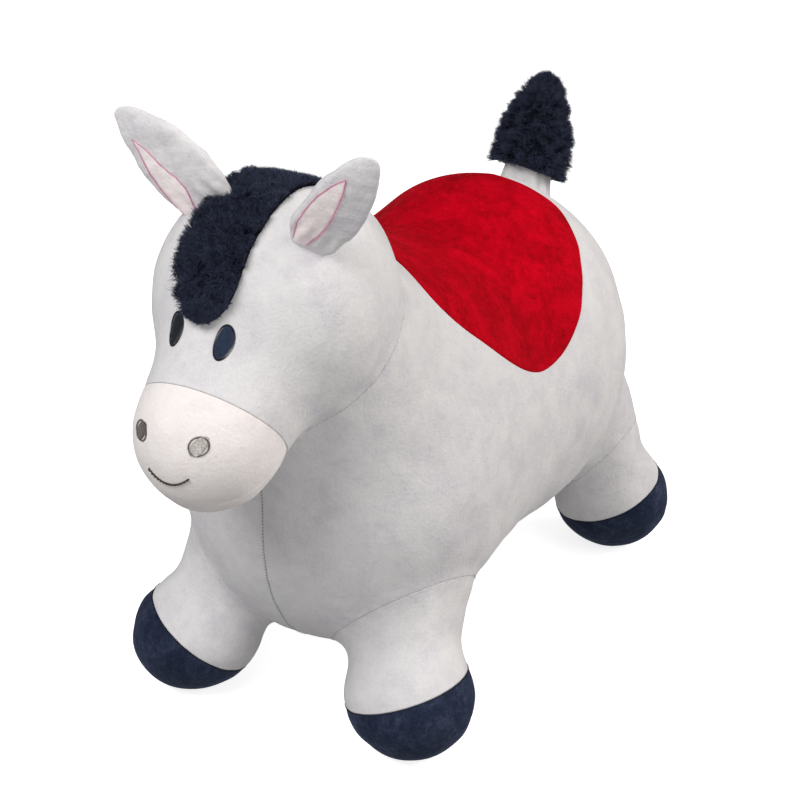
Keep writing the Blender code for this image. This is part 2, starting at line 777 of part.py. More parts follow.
def make_mane(head, trunk):
    """The fur strip: a flattened cord over the crest, cut to the head and neck that carry it."""

    def crest(points):
        return np.minimum(head_form(points), trunk_form(points))

    hub = np.array((0.0, MANE_HUB_Y, MANE_HUB_Z))
    front = shoot(head_form, (0.0, HEAD_Y, MANE_START_Z), (0.0, -1.0, 0.0))[0] - hub
    seam_way = (0.0, 1.0, NECK_SEAM_RISE_SHARE)
    rear = shoot(trunk_form, (0.0, NECK_SEAM_Y, NECK_SEAM_Z), seam_way)[0] - hub
    first = math.atan2(front[2], front[1])
    last = math.atan2(rear[2], rear[1])
    turns = np.linspace(first, last, OUTLINE_POINTS)
    ways = np.stack([np.zeros(len(turns)), np.cos(turns), np.sin(turns)], axis=1)
    points = shoot(crest, np.tile(hub, (len(turns), 1)), ways)
    points = points - ways * MANE_SINK
    along = np.linspace(-1.0, 1.0, len(turns))
    radii = 1.0 - (1.0 - MANE_TIP_SHARE) * np.abs(along) ** 3
    mane = thread("mane", points, radii, MANE_HALF_HEIGHT, 2)
    widen = MANE_HALF_WIDTH / MANE_HALF_HEIGHT
    mane.data.transform(Matrix.Scale(widen, 4, Vector((1.0, 0.0, 0.0))))
    bed = as_cutter("mane_bed", grown(head, SEAM_GAP))
    baked(cut(bed, "UNION", as_cutter("mane_neck_bed", grown(trunk, SEAM_GAP))))
    return [baked(cut(mane, "DIFFERENCE", bed))]


# Ears and tail, which bend at their roots


def swing_beds(name, mesh, pivot, axis, degrees):
    """Copies of a bed turned to each end of a swing, so that what they cut stays clear."""
    made = []
    for turn in (-degrees, 0.0, degrees):
        bed = grown(mesh, SEAM_GAP)
        spin = Matrix.Rotation(math.radians(turn), 4, Vector(axis))
        there = Matrix.Translation(Vector(pivot))
        bed.transform(there @ spin @ there.inverted())
        made.append(as_cutter(f"{name}_bed_{len(made)}", bed))
    return made


def ear_frame():
    """The left ear's root on the head, its way up, its face and its way across."""
    root = shoot(head_form, (EAR_ROOT_X, EAR_ROOT_Y, HEAD_Z), (0.0, 0.0, 1.0))[0]
    tip = np.array((EAR_TIP_X, EAR_TIP_Y, EAR_TIP_Z))
    up = (tip - root) / np.linalg.norm(tip - root)
    face = np.array((0.0, -1.0, 0.0)) + up[1] * up
    face /= np.linalg.norm(face)
    return root, tip, up, face, np.cross(face, up)


def ear_mesh(inset=0.0):
    """The ear's skin: a unit sphere drawn out into an egg, flattened and cupped forwards."""
    root, tip, up, face, across = ear_frame()
    foot = root - up * EAR_ROOT_INSIDE
    half_length = np.linalg.norm(tip - foot) / 2.0 - inset * 2.0
    bm = bmesh.new()
    bmesh.ops.create_uvsphere(bm, u_segments=EAR_AROUND, v_segments=EAR_ALONG, radius=1.0)
    unit = np.array([v.co for v in bm.verts])
    egg = 1.0 - EAR_EGG_SHARE * unit[:, 2]
    wide = unit[:, 0] * egg * (EAR_HALF_WIDTH - inset)
    thick = unit[:, 1] * egg * (EAR_HALF_THICK - inset)
    thick += EAR_CUP_DEPTH * (unit[:, 0] * egg) ** 2
    points = (foot + tip) / 2.0 + np.outer(unit[:, 2] * half_length, up)
    points += np.outer(wide, across) + np.outer(thick, face)
    for vert, point in zip(bm.verts, points):
        vert.co = point
    return in_triangles(bm, "ear_form")


def lining_block():
    """A cutter through the leaf-shaped outline of the ear's pale lining."""
    root, tip, up, face, across = ear_frame()
    length = np.linalg.norm(tip - root)
    turns = np.linspace(0.0, 2.0 * math.pi, OUTLINE_POINTS, endpoint=False)
    middle = (LINING_FOOT_SHARE + LINING_TIP_SHARE) / 2.0
    reach = (LINING_TIP_SHARE - LINING_FOOT_SHARE) / 2.0
    centre = root + up * length * middle
    rim = [
        centre
        + up * length * reach * math.sin(t)
        + across * LINING_HALF_WIDTH * math.cos(t) * (1.0 - LINING_EGG_SHARE * math.sin(t))
        for t in turns
    ]
    bm = bmesh.new()
    near = [bm.verts.new(p - face * EAR_COVER_THICK) for p in rim]
    far = [bm.verts.new(p + face * EAR_HALF_WIDTH) for p in rim]
    bm.faces.new(near)
    bm.faces.new(far)
    for i, j in zip(range(len(near)), [*range(1, len(near)), 0]):
        bm.faces.new((near[i], near[j], far[j], far[i]))
    return as_cutter("lining_outline", mesh_from(bm, "lining_outline"))


def make_ears(head):
    root, _, _, _, across = ear_frame()
    beds = swing_beds("ear", head, root, across, EAR_BEND_DEG)
    skin = ear_mesh()
    cover = thicken_inwards(as_part("ear_cover_left", skin.copy()), EAR_COVER_THICK)
    baked(cut(cover, "DIFFERENCE", *beds))
    filling = as_part("ear_filling_left", ear_mesh(EAR_COVER_THICK + EAR_FILLING_SLIP))
    baked(cut(filling, "DIFFERENCE", *beds))
    lining = laid_on("ear_lining_left", skin, STITCH_THICK, lining_block())
    baked(cut(lining, "DIFFERENCE", *beds))
    lefts = [cover, lining, filling]
    rights = [right_of(obj, obj.name.replace("left", "right")) for obj in lefts]
    hang_on(empty_at("ear_left_bend", root), lefts)
    hang_on(empty_at("ear_right_bend", root * np.array((-1.0, 1.0, 1.0))), rights)
    return lefts, rights


def tail_line():
    """The middles of the tail's foot, which is sunk in the rump, and of its tip."""
    skin = shoot(trunk_form, (0.0, TAIL_ROOT_Y, TRUNK_CORE_Z), (0.0, 0.0, 1.0))[0]
    foot = skin - np.array((0.0, 0.0, TAIL_SINK))
    return foot, foot + np.array((0.0, TAIL_LEAN_Y, TAIL_RISE_Z))


def tail_pivot():
    """Where the tail's axis comes out of the rump."""
    foot, tip = tail_line()
    return shoot(trunk_form, foot - (tip - foot), tip - foot)[0]


def make_tail(trunk):
    foot, tip = tail_line()
    pivot = tail_pivot()
    beds = swing_beds("tail", trunk, pivot, (1.0, 0.0, 0.0), TAIL_BEND_DEG)
    skin = blown_sphere(
        "tail_form",
        lambda points: tapered_limb(points, foot, tip, TAIL_ROOT_RADIUS, TAIL_TIP_RADIUS),
        foot,
        tip,
        EAR_AROUND,
        EAR_ALONG,
    )
    cover = thicken_inwards(as_part("tail_cover", skin.copy()), EAR_COVER_THICK)
    baked(cut(cover, "DIFFERENCE", *beds))
    filling = as_part("tail_filling", grown(skin, -EAR_COVER_THICK - LAYER_SLIP))
    baked(cut(filling, "DIFFERENCE", *beds))
    middle = tip - np.array((0.0, 0.0, TUFT_DROP))
    half = np.array((0.0, 0.0, TUFT_HALF_HEIGHT / 2.0))
    size = (TUFT_HALF_WIDTH, TUFT_HALF_LENGTH, TUFT_HALF_HEIGHT)
    fur = blown_sphere(
        "tuft_form",
        lambda points: swelling(points, middle, size),
        middle - half,
        middle + half,
        EAR_AROUND,
        EAR_ALONG,
    )
    tuft = as_part("tail_tuft", fur)
    stub_bed = as_cutter("tail_stub_bed", grown(skin, SEAM_GAP))
    baked(cut(tuft, "DIFFERENCE", stub_bed, *beds))
    made = [cover, filling, tuft]
    hang_on(empty_at("tail_bend", pivot), made)
    return made


def empty_at(name, point):
    empty = bpy.data.objects.new(name, None)
    empty.empty_display_size = EAR_HALF_WIDTH
    empty.location = Vector(point)
    bpy.data.collections[PARTS].objects.link(empty)
    return empty


def hang_on(empty, pieces):
    """Parents pieces to an empty on their joint's axis, which leaves them where they are."""
    for piece in pieces:
        piece.parent = empty
        piece.matrix_parent_inverse = Matrix.Translation(empty.location).inverted()


# Air chamber and valve


def joined_lobes(name, lobes, depth):
    """One closed form of all the swellings at a depth under the cover's outside."""
    trunk, head, *legs = [grown(lobe, -depth) for lobe in lobes]
    whole = as_cutter(name, trunk)
    others = [as_cutter(f"{name}_head", head)]
    for number, leg in enumerate(legs):
        left = as_cutter(f"{name}_leg_{number}_left", leg)
        others += [left, right_of(left, f"{name}_leg_{number}_right")]
    return baked(cut(whole, "UNION", *others))


def chamber_depth():
    return COVER_THICK + LAYER_SLIP


def chamber_floor_z():
    """The height of the chamber's flat underside, over the zip."""
    return BELLY_FLAT_Z + chamber_depth()


def make_chamber(lobes):
    outside = joined_lobes("chamber_outside", lobes, chamber_depth())
    inside = joined_lobes("chamber_inside", lobes, chamber_depth() + PVC_WALL)
    chamber = as_part("air_chamber", outside.data.copy())
    floor = chamber_floor_z()
    bore = rod_mesh(
        "valve_hole",
        (0.0, VALVE_Y, floor - OVERRUN),
        (0.0, VALVE_Y, floor + PVC_WALL + OVERRUN),
        VALVE_RADIUS + SEAM_GAP,
    )
    cut(chamber, "DIFFERENCE", inside, as_cutter("valve_hole", bore))
    return baked(chamber)


def turned(name, profile, centre):
    """A profile of (radius, height) pairs turned about a vertical axis."""
    mesh = bpy.data.meshes.new(name)
    points = [(radius, 0.0, height) for radius, height in profile]
    closed = profile[0][0] > 0.0
    edges = [(i, i + 1) for i in range(len(points) - 1)]
    if closed:
        edges.append((len(points) - 1, 0))
    mesh.from_pydata(points, edges, [])
    obj = as_part(name, mesh)
    screw = obj.modifiers.new("turn", "SCREW")
    screw.steps = TURN_STEPS
    screw.render_steps = TURN_STEPS
    screw.use_merge_vertices = True
    screw.merge_threshold = MERGE_DISTANCE
    obj.location = Vector(centre)
    return obj


def make_valve():
    """The seat welded into the chamber's underside, and the plug pushed up into it."""
    floor = (0.0, VALVE_Y, chamber_floor_z())
    flange = PVC_WALL + VALVE_FLANGE_SLIP
    seat = turned(
        "valve_seat",
        [
            (VALVE_BORE_RADIUS, VALVE_HEIGHT),
            (VALVE_SLEEVE_RADIUS, VALVE_HEIGHT),
            (VALVE_SLEEVE_RADIUS, VALVE_CUP_HEIGHT),
            (VALVE_RADIUS, VALVE_CUP_HEIGHT),
            (VALVE_RADIUS, flange + VALVE_FLANGE_THICK),
            (VALVE_FLANGE_RADIUS, flange + VALVE_FLANGE_THICK),
            (VALVE_FLANGE_RADIUS, flange),
            (VALVE_RADIUS, flange),
            (VALVE_RADIUS, 0.0),
            (VALVE_CUP_RADIUS, 0.0),
            (VALVE_CUP_RADIUS, VALVE_CUP_DEPTH),
            (VALVE_BORE_RADIUS, VALVE_CUP_DEPTH),
        ],
        floor,
    )
    head_top = VALVE_CUP_DEPTH - SEAM_GAP
    head_low = head_top - PLUG_HEAD_THICK
    plug = turned(
        "valve_plug",
        [
            (0.0, head_top + PLUG_STEM_LENGTH),
            (PLUG_STEM_TIP_RADIUS, head_top + PLUG_STEM_LENGTH),
            (PLUG_STEM_RADIUS, head_top + PLUG_STEM_LENGTH / 2.0),
            (PLUG_STEM_RADIUS, head_top),
            (PLUG_HEAD_RADIUS, head_top),
            (PLUG_HEAD_RADIUS, head_low),
            (PLUG_KNOB_RADIUS, head_low),
            (PLUG_KNOB_RADIUS, head_low - PLUG_KNOB_HEIGHT),
            (0.0, head_low - PLUG_KNOB_HEIGHT),
        ],
        floor,
    )
    return seat, plug


# Zip


def tape_floor_z():
    return BELLY_FLAT_Z + ZIP_TAPE_SINK


def teeth_middle_z():
    return tape_floor_z() + ZIP_TAPE_THICK / 2.0


def make_zip_side(side, name, offset):
    """One tape with its row of teeth, which reach a little past the middle."""
    start = ZIP_Y - ZIP_LENGTH / 2.0
    inner = ZIP_TOOTH_LENGTH / 2.0 - ZIP_TOOTH_OVERLAP
    tape = box_mesh(
        name,
        (inner, start, tape_floor_z()),
        (ZIP_TAPE_WIDTH, start + ZIP_LENGTH, tape_floor_z() + ZIP_TAPE_THICK),
    )
    tooth_y = start + ZIP_END_MARGIN + offset
    middle = teeth_middle_z()
    tooth = box_mesh(
        f"{name}_teeth",
        (-ZIP_TOOTH_OVERLAP, tooth_y, middle - ZIP_TOOTH_THICK / 2.0),
        (ZIP_TOOTH_LENGTH - ZIP_TOOTH_OVERLAP, tooth_y + ZIP_TOOTH_WIDTH, middle + ZIP_TOOTH_THICK / 2.0),
    )
    row = as_cutter(f"{name}_teeth", tooth)
    repeat = row.modifiers.new("row", "ARRAY")
    repeat.use_relative_offset = False
    repeat.use_constant_offset = True
    repeat.constant_offset_displace = (0.0, ZIP_TOOTH_PITCH, 0.0)
    room = ZIP_LENGTH - 2.0 * ZIP_END_MARGIN - ZIP_TOOTH_WIDTH - ZIP_TOOTH_PITCH / 2.0
    repeat.count = 1 + math.floor(room / ZIP_TOOTH_PITCH)
    baked(row)
    obj = as_part(name, tape)
    if side < 0:
        for mesh in (obj.data, row.data):
            mesh.transform(Matrix.Scale(-1.0, 4, Vector((1.0, 0.0, 0.0))))
            mesh.flip_normals()
    return baked(cut(obj, "UNION", row))


def slider_rest_y():
    """The slider waits at the closed end, just past the last teeth's start."""
    return ZIP_Y - ZIP_LENGTH / 2.0 + ZIP_END_MARGIN + SLIDER_LENGTH / 2.0


def slider_pin_place():
    """The middle of the pin that the pull hangs from."""
    plate_top = teeth_middle_z() - ZIP_TOOTH_THICK / 2.0 - SEAM_GAP
    return (0.0, slider_rest_y(), plate_top - SLIDER_WALL - SLIDER_PIN_DROP)


def make_slider():
    """The slider's outer plate with its side rails, and the lugs and pin under it."""
    _, y, pin_z = slider_pin_place()
    top = pin_z + SLIDER_PIN_DROP + SLIDER_WALL
    row_half = ZIP_TOOTH_LENGTH - ZIP_TOOTH_OVERLAP + SEAM_GAP
    half_width = row_half + SLIDER_WALL
    half_length = SLIDER_LENGTH / 2.0
    plate = box_mesh(
        "zip_slider",
        (-half_width, y - half_length, top - SLIDER_WALL),
        (half_width, y + half_length, top),
    )
    slider = as_part("zip_slider", plate)
    bevel = slider.modifiers.new("rounding", "BEVEL")
    bevel.width = SLIDER_WALL / 3.0
    bevel.segments = 1
    pieces = []
    for side in (-1.0, 1.0):
        inner, outer = sorted((side * row_half, side * half_width))
        pieces.append(
            box_mesh(
                "slider_rail",
                (inner, y - half_length * SLIDER_RAIL_SHARE, top - SLIDER_WALL / 2.0),
                (outer, y + half_length * SLIDER_RAIL_SHARE, top + SLIDER_RAIL_HEIGHT),
            )
        )
        lug_x = side * (PULL_EYE_LENGTH / 2.0 + SEAM_GAP)
        pieces.append(
            rod_mesh(
                "slider_lug",
                (lug_x, y, pin_z),
                (lug_x + side * SLIDER_LUG_WIDTH, y, pin_z),
                SLIDER_LUG_RADIUS,
                TURN_STEPS // 2,
            )
        )
        low, high = sorted((lug_x, lug_x + side * SLIDER_LUG_WIDTH))
        pieces.append(
            box_mesh(
                "slider_lug_foot",
                (low, y - SLIDER_LUG_RADIUS * SLIDER_LUG_FOOT_SHARE, pin_z),
                (high, y + SLIDER_LUG_RADIUS * SLIDER_LUG_FOOT_SHARE, top - SLIDER_WALL / 2.0),
            )
        )
    reach = PULL_EYE_LENGTH / 2.0 + SEAM_GAP + SLIDER_LUG_WIDTH / 2.0
    pieces.append(
        rod_mesh("slider_pin", (-reach, y, pin_z), (reach, y, pin_z), SLIDER_PIN_RADIUS, TURN_STEPS // 2)
    )
    cut(slider, "UNION", *(as_cutter(f"slider_piece_{i}", m) for i, m in enumerate(pieces)))
    return baked(slider)


def make_pull():
    """A flat tab that hangs from the slider's pin by a rolled eye."""
    _, y, pin_z = slider_pin_place()
    half_eye = PULL_EYE_LENGTH / 2.0
    half_thick = PULL_THICK / 2.0
    pull = as_part(
        "zip_pull",
        rod_mesh("zip_pull", (-half_eye, y, pin_z), (half_eye, y, pin_z), PULL_EYE_RADIUS, TURN_STEPS // 2),
    )
    half_neck = half_eye * PULL_NECK_SHARE
    neck_thick = half_thick * PULL_NECK_SHARE
    neck = box_mesh(
        "pull_neck",
        (-half_neck, y - neck_thick, pin_z - PULL_NECK_LENGTH),
        (half_neck, y + neck_thick, pin_z - PULL_EYE_BORE * PULL_EYE_CLEAR_SHARE),
    )
    tab = box_mesh(
        "pull_tab",
        (-PULL_WIDTH / 2.0, y - half_thick, pin_z - PULL_LENGTH),
        (PULL_WIDTH / 2.0, y + half_thick, pin_z - PULL_NECK_LENGTH * PULL_TAB_TOP_SHARE),
    )
    bore = rod_mesh(
        "pull_bore",
        (-half_eye - OVERRUN, y, pin_z),
        (half_eye + OVERRUN, y, pin_z),
        PULL_EYE_BORE,
        TURN_STEPS // 2,
    )
    cut(pull, "UNION", as_cutter("pull_neck", neck), as_cutter("pull_tab", tab))
    cut(pull, "DIFFERENCE", as_cutter("pull_bore", bore))
    return baked(pull)


def make_zip():
    left = make_zip_side(1, "zip_tape_left", 0.0)
    right = make_zip_side(-1, "zip_tape_right", ZIP_TOOTH_PITCH / 2.0)
    slider = make_slider()
    pull = make_pull()
    hang_on(empty_at("zip_slide", slider_pin_place()), [slider, pull])
    return (left, right), slider, pull


# Assembly


def finish(objects, surface, smooth_degrees=50.0):
    for obj in objects:
        obj.data.materials.clear()
        obj.data.materials.append(surface)
        for slot in obj.material_slots:
            slot.link = "DATA"
        obj.data.shade_smooth()
        obj.data.set_sharp_from_angle(angle=math.radians(smooth_degrees))


def stand_on_origin():
    """Moves everything along Y so that the middle of the animal's length is at Y = 0."""
    graph = bpy.context.evaluated_depsgraph_get()
    reach = []
    for obj in bpy.data.collections[PARTS].objects:
        if obj.type != "MESH":
            continue
        shape = obj.evaluated_get(graph)
        reach += [(shape.matrix_world @ Vector(corner)).y for corner in shape.bound_box]
    shift = -(min(reach) + max(reach)) / 2.0
    for obj in bpy.data.objects:
        if obj.parent is None:
            obj.location.y += shift
    print(f"moved {shift * 1000:.3f} mm along Y")
    return shift


def main():
    clear_scene()
    collection_named(PARTS, True)
    collection_named(CUTTERS, False)
    grey_velour = material("grey_velour", (0.66, 0.66, 0.68), 0.9)
    material("pale_velour", (0.87, 0.80, 0.79), 0.9)
    pink_velour = material("pink_velour", (0.86, 0.70, 0.71), 0.9)
    red_velour = material("red_velour", (0.58, 0.008, 0.015), 0.85)
    material("navy_velour", (0.016, 0.022, 0.055), 0.85)
    navy_fur = material("navy_fur", (0.010, 0.013, 0.030), 0.95)
    navy_thread = material("navy_thread", (0.008, 0.014, 0.035), 0.5)
    grey_thread = material("grey_thread", (0.30, 0.29, 0.28), 0.6)
    dark_thread = material("dark_thread", (0.05, 0.045, 0.05), 0.6)
    white_fibre = material("white_fibre", (0.85, 0.85, 0.83), 1.0)
    pvc = material("clear_grey_pvc", (0.55, 0.56, 0.60), 0.35)
    valve_plastic = material("valve_plastic", (0.80, 0.80, 0.82), 0.4)
    zip_cloth = material("zip_cloth", (0.50, 0.50, 0.52), 0.8)
    zip_metal = material("zip_metal", (0.60, 0.60, 0.62), 0.3, 1.0)

    trunk = trunk_mesh(TRUNK_AROUND, TRUNK_ALONG)
    head = head_mesh(HEAD_AROUND, HEAD_ALONG)
    legs = {which: leg_mesh(which, LEG_AROUND, LEG_ALONG) for which in LEGS}
    lobes = [trunk, head, *legs.values()]
    make_covers(joined_lobes("cover_outside", lobes, 0.0), joined_lobes("cover_inside", lobes, COVER_THICK))
    finish(make_saddle(trunk), red_velour)
    face = make_face(head)
    finish(face[:2], navy_thread)
    finish(face[2:4], grey_thread)
    finish(face[4:], dark_thread)
    finish(make_mane(head, trunk), navy_fur)

    for cover, lining, filling in make_ears(head):
        finish([cover], grey_velour)
        finish([lining], pink_velour)
        finish([filling], white_fibre)
    tail_cover, tail_filling, tail_tuft = make_tail(trunk)
    finish([tail_cover], grey_velour)
    finish([tail_filling], white_fibre)
    finish([tail_tuft], navy_fur)

    finish([make_chamber(lobes)], pvc)
    finish(make_valve(), valve_plastic)
    tapes, slider, pull = make_zip()
    finish(tapes, zip_cloth)
    finish([slider, pull], zip_metal)

    shift = stand_on_origin()
    root, _, _, _, across = ear_frame()
    for name, place in (("ear", root), ("tail", tail_pivot()), ("pin", slider_pin_place())):
        print(name, np.round(np.array(place) + np.array((0.0, shift, 0.0)), 5))
    print("ear axis", np.round(across, 5))


main()
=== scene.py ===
# %% [markdown]
# A plush donkey to bounce on. On the real toy an air chamber of soft vinyl
# fills a cover sewn from velour. This lesson dresses the fixed CAD model: each
# cell makes one piece of cloth, fur or thread as a numpy surface, gives it a
# material made of nodes, and lets it ride on the CAD body that carries it.
# All lengths are metres. The donkey faces -Y and its left side is +X.

# %% Load the fixed model
import json
import math

import bmesh
import bpy
import numpy as np
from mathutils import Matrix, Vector

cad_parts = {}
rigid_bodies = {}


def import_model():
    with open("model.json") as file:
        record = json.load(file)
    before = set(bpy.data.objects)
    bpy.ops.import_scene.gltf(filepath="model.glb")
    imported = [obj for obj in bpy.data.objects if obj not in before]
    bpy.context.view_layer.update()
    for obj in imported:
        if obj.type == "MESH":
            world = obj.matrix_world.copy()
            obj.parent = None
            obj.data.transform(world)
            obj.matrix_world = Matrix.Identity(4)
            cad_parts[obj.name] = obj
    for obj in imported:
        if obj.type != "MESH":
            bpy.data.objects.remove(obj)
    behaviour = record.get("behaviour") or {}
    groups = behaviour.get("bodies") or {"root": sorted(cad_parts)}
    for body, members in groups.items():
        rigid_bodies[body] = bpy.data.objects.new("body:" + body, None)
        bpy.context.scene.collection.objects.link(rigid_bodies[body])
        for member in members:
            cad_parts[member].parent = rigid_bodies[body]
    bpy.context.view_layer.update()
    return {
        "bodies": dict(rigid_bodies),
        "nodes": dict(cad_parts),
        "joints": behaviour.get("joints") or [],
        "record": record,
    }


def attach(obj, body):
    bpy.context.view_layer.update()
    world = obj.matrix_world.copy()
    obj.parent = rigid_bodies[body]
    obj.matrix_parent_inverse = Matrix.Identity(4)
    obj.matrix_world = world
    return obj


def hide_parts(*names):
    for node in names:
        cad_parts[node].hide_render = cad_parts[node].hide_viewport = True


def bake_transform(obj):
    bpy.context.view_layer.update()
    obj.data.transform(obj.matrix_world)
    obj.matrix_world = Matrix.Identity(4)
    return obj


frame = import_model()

# %% [markdown]
# The camera comes first, so that every later piece can be judged in its view.
# It stands to the left of the nose and looks down on the back, on a line given
# by an azimuth and an elevation. A long lens from nearly two metres away keeps
# the perspective as weak as in a catalogue picture.

# %% Camera
AIM = Vector((-0.0091, 0.0394, 0.1838))
AZIMUTH = math.radians(28.9)
ELEVATION = math.radians(26.5)
AWAY = 1.735
camera_data = bpy.data.cameras.new("camera")
camera_data.lens = 100.8
camera_data.sensor_width = 36.0
camera = bpy.data.objects.new("camera", camera_data)
bpy.context.scene.collection.objects.link(camera)
line = Vector(
    (
        math.sin(AZIMUTH) * math.cos(ELEVATION),
        -math.cos(AZIMUTH) * math.cos(ELEVATION),
        math.sin(ELEVATION),
    )
)
camera.location = AIM + line * AWAY
camera.rotation_euler = line.to_track_quat("Z", "Y").to_euler()
bpy.context.scene.camera = camera
print("camera at", [round(c, 3) for c in camera.location])

# %% [markdown]
# The studio is a floor of white paper under a dim, even sky. The strongest soft
# lamp hangs high in front of the face, so that the chin throws a deep shade on
# the throat. One behind the rump and one beside the flank are weaker and a
# little warmer, and a faint low one fills the chest. The paper is lit from
# within, so it stays white, and rays that leave the cloth pass through it,
# which keeps it from lighting the donkey from below.

# %% Floor, sky and lamps
LAMP_AIM = Vector((0.0, 0.0, 0.2))
SKY_STRENGTH = 0.24
PAPER_GLOW = 0.78
FLOOR_REACH = 30.0


def soft_lamp(name, place, size, watts, colour=(1.0, 1.0, 1.0)):
    """A square lamp of this size at a place, turned towards the donkey."""
    data = bpy.data.lights.new(name, "AREA")
    data.shape = "SQUARE"
    data.size = size
    data.energy = watts
    data.color = colour
    lamp = bpy.data.objects.new(name, data)
    bpy.context.scene.collection.objects.link(lamp)
    lamp.location = Vector(place)
    lamp.rotation_euler = (Vector(place) - LAMP_AIM).to_track_quat("Z", "Y").to_euler()


soft_lamp("front_lamp", (-0.4, -1.5, 1.9), 1.0, 30.0)
soft_lamp("rump_lamp", (1.6, 1.2, 1.3), 1.2, 27.0, (1.0, 0.96, 0.92))
soft_lamp("flank_lamp", (1.83, -0.46, 1.34), 1.2, 8.0, (1.0, 0.97, 0.94))
soft_lamp("chest_lamp", (0.9, -1.5, 0.35), 0.7, 4.0)

sky = bpy.data.worlds.new("sky")
sky.use_nodes = True
sky.node_tree.nodes["Background"].inputs["Color"].default_value = (1.0, 1.0, 1.0, 1.0)
sky.node_tree.nodes["Background"].inputs["Strength"].default_value = SKY_STRENGTH
bpy.context.scene.world = sky
bpy.context.scene.view_settings.view_transform = "Standard"

floor_data = bpy.data.meshes.new("floor")
corners = [(FLOOR_REACH * x, FLOOR_REACH * y, 0.0) for x, y in ((-1, -1), (1, -1), (1, 1), (-1, 1))]
floor_data.from_pydata(corners, [], [(0, 1, 2, 3)])
floor = bpy.data.objects.new("floor", floor_data)
bpy.context.scene.collection.objects.link(floor)
paper = bpy.data.materials.new("floor_paper")
paper.use_nodes = True
for key, value in (
    ("Base Color", (0.93, 0.93, 0.93, 1.0)),
    ("Roughness", 0.9),
    ("Emission Color", (1.0, 1.0, 1.0, 1.0)),
    ("Emission Strength", PAPER_GLOW),
):
    paper.node_tree.nodes["Principled BSDF"].inputs[key].default_value = value
floor_data.materials.append(paper)
floor.visible_diffuse = False
print("floor, sky and", len(bpy.data.lights), "lamps")

# %% [markdown]
# An inflated animal has no flat sides: every part swells. So its shape is
# written as a form, a function that is below zero inside and above zero
# outside. Ellipsoids and tapered limbs are the simple forms, and a blend runs
# two of them together with a fillet, as tight cloth does over an air chamber.

# %% Forms


def swelling(points, centre, half):
    """An ellipsoid. The value is k(k - 1) over the slope, near the distance from the skin;
    k is how far out the point lies, 1 being on the skin."""
    q = points - np.array(centre)
    near = np.linalg.norm(q / np.array(half), axis=-1)
    slope = np.linalg.norm(q / np.array(half) ** 2, axis=-1)
    return near * (near - 1.0) / np.maximum(slope, 1e-9)


def limb(points, start, end, start_radius, end_radius):
    """Distance from a line between two points, less a radius that runs from one end to the other."""
    axis = np.array(end) - np.array(start)
    q = points - np.array(start)
    share = np.clip(q @ axis / (axis @ axis), 0.0, 1.0)
    radius = start_radius + (end_radius - start_radius) * share
    return np.linalg.norm(q - share[..., None] * axis, axis=-1) - radius


def blend(a, b, reach):
    """The lesser of two forms, less a fillet that is largest where they are equal."""
    near = np.maximum(reach - np.abs(a - b), 0.0) / reach
    return np.minimum(a, b) - near * near * reach / 4.0


BELLY_FLAT_Z = 0.060
ZIP_MIDDLE_Y = 0.045


def trunk_form(points):
    """Belly, rump and chest run together, with the rising neck, and flat under the belly at the zip."""
    belly = swelling(points, (0.0, 0.064, 0.183), (0.121, 0.187, 0.127))
    rump = swelling(points, (0.0, 0.159, 0.188), (0.1095, 0.108, 0.136))
    chest = swelling(points, (0.0, -0.068, 0.171), (0.117, 0.108, 0.125))
    neck = limb(points, (0.0, -0.025, 0.240), (0.0, -0.104, 0.289), 0.090, 0.086)
    trunk = blend(blend(belly, rump, 0.060), chest, 0.060)
    trunk = blend(trunk, neck, 0.050)
    beyond = np.maximum(np.abs(points[..., 1] - ZIP_MIDDLE_Y) - 0.070, 0.0)
    below_flat = BELLY_FLAT_Z - beyond * 0.45 - points[..., 2]
    return -blend(-trunk, -below_flat, 0.006)


def head_form(points):
    """A round head, pulled in a little where the mane is sewn on, run into an egg-shaped muzzle."""
    head = swelling(points, (0.0, -0.149, 0.345), (0.084, 0.084, 0.087))
    back = np.clip((points[..., 1] + 0.16) / 0.06, 0.0, 1.0)
    rise = np.clip((points[..., 2] - 0.392) / 0.026, 0.0, 1.0)
    valley = np.exp(-((points[..., 0] / 0.034) ** 2)) * rise * rise * (3.0 - 2.0 * rise)
    head = head + (0.0048 + 0.0026 * back) * valley
    muzzle = swelling(points, (0.0, -0.238, 0.282), (0.0508, 0.049, 0.0515))
    return blend(head, muzzle, 0.045)


LEGS = {
    "front_left": ((0.064, -0.093, 0.099), 0.050, (0.0925, -0.130, 0.042)),
    "front_right": ((-0.064, -0.093, 0.099), 0.050, (-0.0925, -0.130, 0.042)),
    "rear_left": ((0.068, 0.203, 0.123), 0.047, (0.0955, 0.2195, 0.042)),
    "rear_right": ((-0.068, 0.203, 0.123), 0.047, (-0.0955, 0.2195, 0.042)),
}


def leg_form(points, which):
    """A tapering shin from inside the trunk to the ankle, and the rounded hoof below it."""
    shin, radius, hoof = LEGS[which]
    shin, hoof = np.array(shin), np.array(hoof)
    ankle = shin + (hoof - shin) * (shin[2] - 0.062) / (shin[2] - hoof[2])
    shank = limb(points, shin, ankle, radius, 0.038)
    foot = swelling(points, hoof, (0.0475, 0.0475, 0.044))
    return blend(shank, foot, 0.014)


def animal_form(points):
    """Everything that the cover goes round, with small fillets where the parts meet."""
    whole = blend(trunk_form(points), head_form(points), 0.010)
    for which in LEGS:
        whole = blend(whole, leg_form(points, which), 0.016)
    return np.maximum(whole, -points[..., 2])


SLOPE_STEP = 0.0004
RAY_REACH = 0.45
HALVINGS = 26


def slope_of(form, points):
    """Unit normals: the form's change over a small step each way along X, Y and Z."""
    steps = SLOPE_STEP * np.eye(3)
    way = np.stack([form(points + step) - form(points - step) for step in steps], axis=-1)
    return way / np.maximum(np.linalg.norm(way, axis=-1), 1e-12)[..., None]


